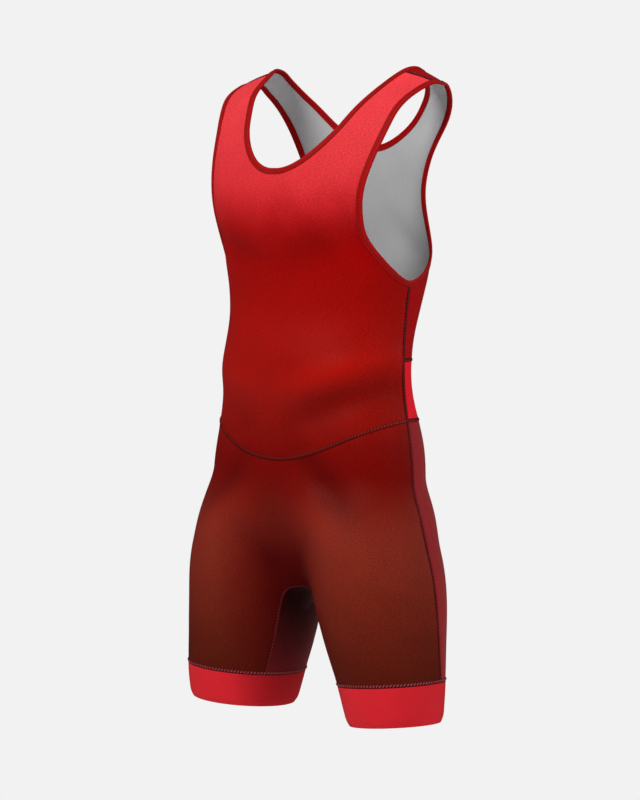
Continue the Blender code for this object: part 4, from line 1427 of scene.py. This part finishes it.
side_line = joined(FRONT_LOWER[:, -1], FRONT_UPPER[:WAIST_ROWS + RIB_ROWS + 1, -1])
inseam_line = FRONT_LOWER[:INSEAM_CELLS + 1, 0]
inseam_line = joined(inseam_line, mirrored(inseam_line)[::-1])
waist_line = joined(mirrored(FRONT_UPPER[0])[::-1], FRONT_UPPER[0])
back_low_line = joined(mirrored(BACK_WAIST[0])[::-1], BACK_WAIST[0])
back_high_line = joined(mirrored(BACK_UPPER[0])[::-1], BACK_UPPER[0])
cuff_line = onto_figure(band_ring(CUFF_DROP, np.linspace(0.0, 360.0, 200, endpoint=False)))
shoulder_places = straight(
    moved_inwards(NECK_LINE, SHOULDER_INSET, 1.0)[FINE - 1],
    moved_inwards(ARM_LINE, SHOULDER_INSET, -1.0)[FINE - 1],
    SHOULDER_POINTS,
)
shoulder_line = torso_point(*shoulder_places.T)
shoulder_normals = torso_normals(shoulder_places)
shoulder_normals = shoulder_normals * np.sign(shoulder_normals[0, 2])

SEAMS = {
    # name            line and normals, closed
    "side_left": (*on_skin(even_line(side_line[::-1])), False),
    "side_right": (*on_skin(even_line(mirrored(side_line))), False),
    "front_waist": (*on_skin(even_line(waist_line)), False),
    "back_waist_low": (*on_skin(even_line(back_low_line)), False),
    "back_waist_high": (*on_skin(even_line(back_high_line)), False),
    "inseam": (*on_skin(even_line(inseam_line)), False),
    "cuff_left": (*on_skin(even_line(cuff_line, closed=True)), True),
    "cuff_right": (*on_skin(even_line(mirrored(cuff_line)[::-1], closed=True)), True),
    "shoulder_left": (shoulder_line, shoulder_normals, False),
    "shoulder_right": (mirrored(shoulder_line), mirrored(shoulder_normals), False),
}
STRIPS = {}
for name, (line, normals, closed) in SEAMS.items():
    finishes = [FINISHES["waist_seam"], FINISHES["waist_groove_shadow"]]
    if name != "front_waist":
        finishes = [FINISHES["seam"], FINISHES["seam_groove_shadow"]]
    STRIPS[name] = add_strip("seam_" + name, line, normals, finishes, closed)
    held(STRIPS[name], "binding_red")
print("length of the seams:", {name: round(lengths(line)[-1], 3) for name, (line, _, _) in SEAMS.items()})

# %% Threads over the seams and along the tapes
THREAD_RADIUS = 0.00060
THREAD_SIDES = 5
THREAD_HEIGHT = 0.00105
THREAD_LEAN = 0.30          # how far a thread leans along the seam, in pitches
STITCH_PITCH = 0.0043
STITCH_GAP = 0.18           # a tape's stitch starts and ends this far into its pitch, as a share
TAPE_THREAD_RADIUS = 0.00024
TAPE_ROWS = (
    # from the fold, above the form
    (0.0064, 0.00128),
    (0.0037, 0.00135),
)
THREADS = {"front_waist": "waist_thread", "cuff_left": "cuff_thread", "cuff_right": "cuff_thread"}


def threads(starts, ends, normals, radius=THREAD_RADIUS, lift=0.0002):
    """Return the corners of short threads, as an array of (thread, ring, side, 3).

    A thread's middle line goes straight from its start to its end and rises as half a sine
    wave; round it, each ring is a circle that shrinks at both ends.
    """
    share = np.linspace(0.0, 1.0, 4)[None, :, None]
    size = np.array([0.35, 1.0, 1.0, 0.35])[None, :, None, None]
    line = starts[:, None] * (1.0 - share) + ends[:, None] * share
    line = line + lift * np.sin(np.pi * share) * normals[:, None]
    side = unit(np.cross(ends - starts, normals))
    angle = np.linspace(0.0, 2.0 * np.pi, THREAD_SIDES, endpoint=False)[None, None, :, None]
    ring = np.cos(angle) * normals[:, None, None] + np.sin(angle) * side[:, None, None]
    return line[:, :, None] + radius * size * ring


def add_threads(name, corners, material):
    """Add all threads of one kind as one mesh: quads between the rings and a cap at each end."""
    count, rings, sides = corners.shape[:3]
    index = np.arange(count * rings * sides).reshape(count, rings, sides)
    after = np.roll(index, -1, axis=2)
    quads = np.stack([index[:, :-1], index[:, 1:], after[:, 1:], after[:, :-1]], axis=-1)
    caps = np.concatenate([index[:, 0], index[:, -1, ::-1]])
    mesh = bpy.data.meshes.new(name)
    mesh.from_pydata(corners.reshape(-1, 3).tolist(), [], quads.reshape(-1, 4).tolist() + caps.tolist())
    mesh.materials.append(material)
    mesh.shade_smooth()
    piece = bpy.data.objects.new(name, mesh)
    bpy.context.scene.collection.objects.link(piece)
    held(piece, "binding_red")
    return piece


def ladder(line, normals, closed, reach=(-0.45, 0.85)):
    """Return the threads across a seam: one for each pitch, each leaning to the next."""
    fine = even_line(line, STITCH_PITCH, closed)
    normals = unit(pick(normals, np.interp(np.linspace(0.0, 1.0, len(fine)), [0, 1], [0, len(line) - 1])))
    along, across = line_frame(fine, normals, closed)
    kept = slice(None) if closed else slice(1, -1)
    middle = (fine + THREAD_HEIGHT * normals)[kept]
    lean = THREAD_LEAN * STITCH_PITCH * along[kept]
    start = middle + reach[0] * SEAM_HALF_WIDTH * across[kept] - lean
    end = middle + reach[1] * SEAM_HALF_WIDTH * across[kept] + lean
    return threads(start, end, normals[kept])


def tape_rows(places_edge, side, width, height):
    """Return the threads of one row of stitches along a tape, at a width from its fold."""
    line = moved_inwards(places_edge, width, side)
    points = torso_point(*line.T)
    cells = int(lengths(points)[-1] / STITCH_PITCH)
    places = spread(points, cells)
    row = pick(line, places)
    normals = torso_normals(row)
    normals = normals * np.sign(np.sum(normals[:1] * torso_point(*row[:1].T) * [1.0, 1.0, 0.0]))
    points = torso_point(*row.T) + height * normals
    start = points[:-1] * (1.0 - STITCH_GAP) + points[1:] * STITCH_GAP
    end = points[:-1] * STITCH_GAP + points[1:] * (1.0 - STITCH_GAP)
    return start, end, normals[:-1]


seam_threads = 0
for kind in ("waist_thread", "cuff_thread", "thread"):
    names = [name for name in SEAMS if THREADS.get(name, "thread") == kind]
    group = np.concatenate([ladder(*SEAMS[name]) for name in names])
    add_threads("stitches_" + kind, group, FINISHES[kind])
    seam_threads += len(group)
rows = []
for edge, side in ((NECK_LINE, 1.0), (ARM_LINE, -1.0)):
    for width, height in TAPE_ROWS:
        row = threads(*tape_rows(edge, side, width, height), radius=TAPE_THREAD_RADIUS)
        rows += [row, mirrored(row)[:, ::-1]]
add_threads("stitches_tapes", np.concatenate(rows), FINISHES["tape_thread"])
print("threads over seams:", seam_threads, "and along tapes:", sum(len(row) for row in rows))

# %% [markdown]
# ## What was cut from flat cloth
#
# The cut is not known.  The flat areas of the body panels are set from this form, so that every
# panel is stretched by about a tenth each way, and that they pass is no proof of the cut.  The
# bands and the tapes are folded strips of two layers.

# %% [markdown]
# ## Floor, light and camera
#
# The garment is shown filled out and held by nothing that is seen, high above a pale floor.
# The light is soft and even: a bright room, a large panel in front and above, a weaker one at
# the wearer's left side, and one behind it that lights the edge.  The camera is far away with a
# long lens, so the form looks flat-on.

# %% Floor and room
PAPER = (242, 242, 242)
FLOOR_HEIGHT = -1.35
FLOOR_RADIUS = 40.0


def add_floor():
    """Add a round floor: points at equal steps of a circle, as one face.

    The camera sees the paper's plain colour, and the cloth's gloss does not reflect the floor.
    """
    angle = np.linspace(0.0, 2.0 * np.pi, 96, endpoint=False)
    ring = np.stack([np.cos(angle), np.sin(angle), 0.0 * angle], axis=1) * FLOOR_RADIUS
    ring[:, 2] = FLOOR_HEIGHT
    mesh = bpy.data.meshes.new("floor")
    mesh.from_pydata(ring.tolist(), [], [list(range(len(ring)))])
    material = bpy.data.materials.new("pale_floor")
    material.use_nodes = True
    tree = material.node_tree
    shader = tree.nodes["Principled BSDF"]
    shader.inputs["Base Color"].default_value = linear(*PAPER)
    shader.inputs["Roughness"].default_value = 1.0
    shader.inputs["Specular IOR Level"].default_value = 0.0
    glow = node(tree, "ShaderNodeEmission")
    glow.inputs["Color"].default_value = linear(*PAPER)
    seen = node(tree, "ShaderNodeLightPath")
    tree.links.new(seen.outputs["Is Camera Ray"], glow.inputs["Strength"])
    plain = maths(tree, "ADD", seen.outputs["Is Camera Ray"], seen.outputs["Is Glossy Ray"])
    mix = node(tree, "ShaderNodeMixShader")
    tree.links.new(plain, mix.inputs[0])
    tree.links.new(shader.outputs[0], mix.inputs[1])
    tree.links.new(glow.outputs[0], mix.inputs[2])
    tree.links.new(mix.outputs[0], tree.nodes["Material Output"].inputs["Surface"])
    mesh.materials.append(material)
    piece = bpy.data.objects.new("floor", mesh)
    bpy.context.scene.collection.objects.link(piece)


def light_room(strength):
    """Give the world the paper's colour for the camera, and an even light of some strength.

    Reflections see only a part of it, so that the cloth keeps its deep colour at the edges.
    """
    world = bpy.data.worlds.new("bright_room")
    world.use_nodes = True
    tree = world.node_tree
    background = tree.nodes["Background"]
    background.inputs["Color"].default_value = linear(*PAPER)
    seen = node(tree, "ShaderNodeLightPath")
    gloss = maths(tree, "MULTIPLY", seen.outputs["Is Glossy Ray"], -0.9 * strength)
    rest = maths(tree, "MULTIPLY", seen.outputs["Is Camera Ray"], 1.0 - strength)
    rest = maths(tree, "ADD", rest, gloss)
    tree.links.new(maths(tree, "ADD", rest, strength), background.inputs["Strength"])
    bpy.context.scene.world = world


def soft_light(name, place, aim, size, power):
    """Add a square area light at a place, turned towards a point."""
    data = bpy.data.lights.new(name, "AREA")
    data.size = size
    data.energy = power
    lamp = bpy.data.objects.new(name, data)
    lamp.location = place
    lamp.rotation_euler = (Vector(aim) - Vector(place)).to_track_quat("-Z", "Y").to_euler()
    bpy.context.scene.collection.objects.link(lamp)


add_floor()
light_room(0.40)
soft_light("key", (-0.4, -2.8, 2.1), (0.0, 0.0, -0.35), 1.5, 112.0)
soft_light("fill", (3.0, -0.6, 0.5), (0.0, 0.0, -0.4), 1.6, 25.0)
soft_light("rim", (2.0, 2.4, 0.8), (0.0, 0.0, -0.3), 1.2, 26.0)

# %% Camera
CAMERA_TURN = 44.5          # degrees round the garment from straight ahead
CAMERA_DISTANCE = 5.0
CAMERA_HEIGHT = -0.104
CAMERA_AIM = (0.0, 0.0, -0.4206)
CAMERA_LENS = 177.2
CAMERA_SHIFT = 0.0025

turn = np.radians(CAMERA_TURN)
camera_data = bpy.data.cameras.new("camera")
camera_data.lens = CAMERA_LENS
camera_data.shift_x = CAMERA_SHIFT
camera = bpy.data.objects.new("camera", camera_data)
camera.location = (CAMERA_DISTANCE * np.sin(turn), -CAMERA_DISTANCE * np.cos(turn), CAMERA_HEIGHT)
camera.rotation_euler = (Vector(CAMERA_AIM) - camera.location).to_track_quat("-Z", "Y").to_euler()
bpy.context.scene.collection.objects.link(camera)
bpy.context.scene.camera = camera
bpy.context.scene.view_settings.view_transform = "Standard"
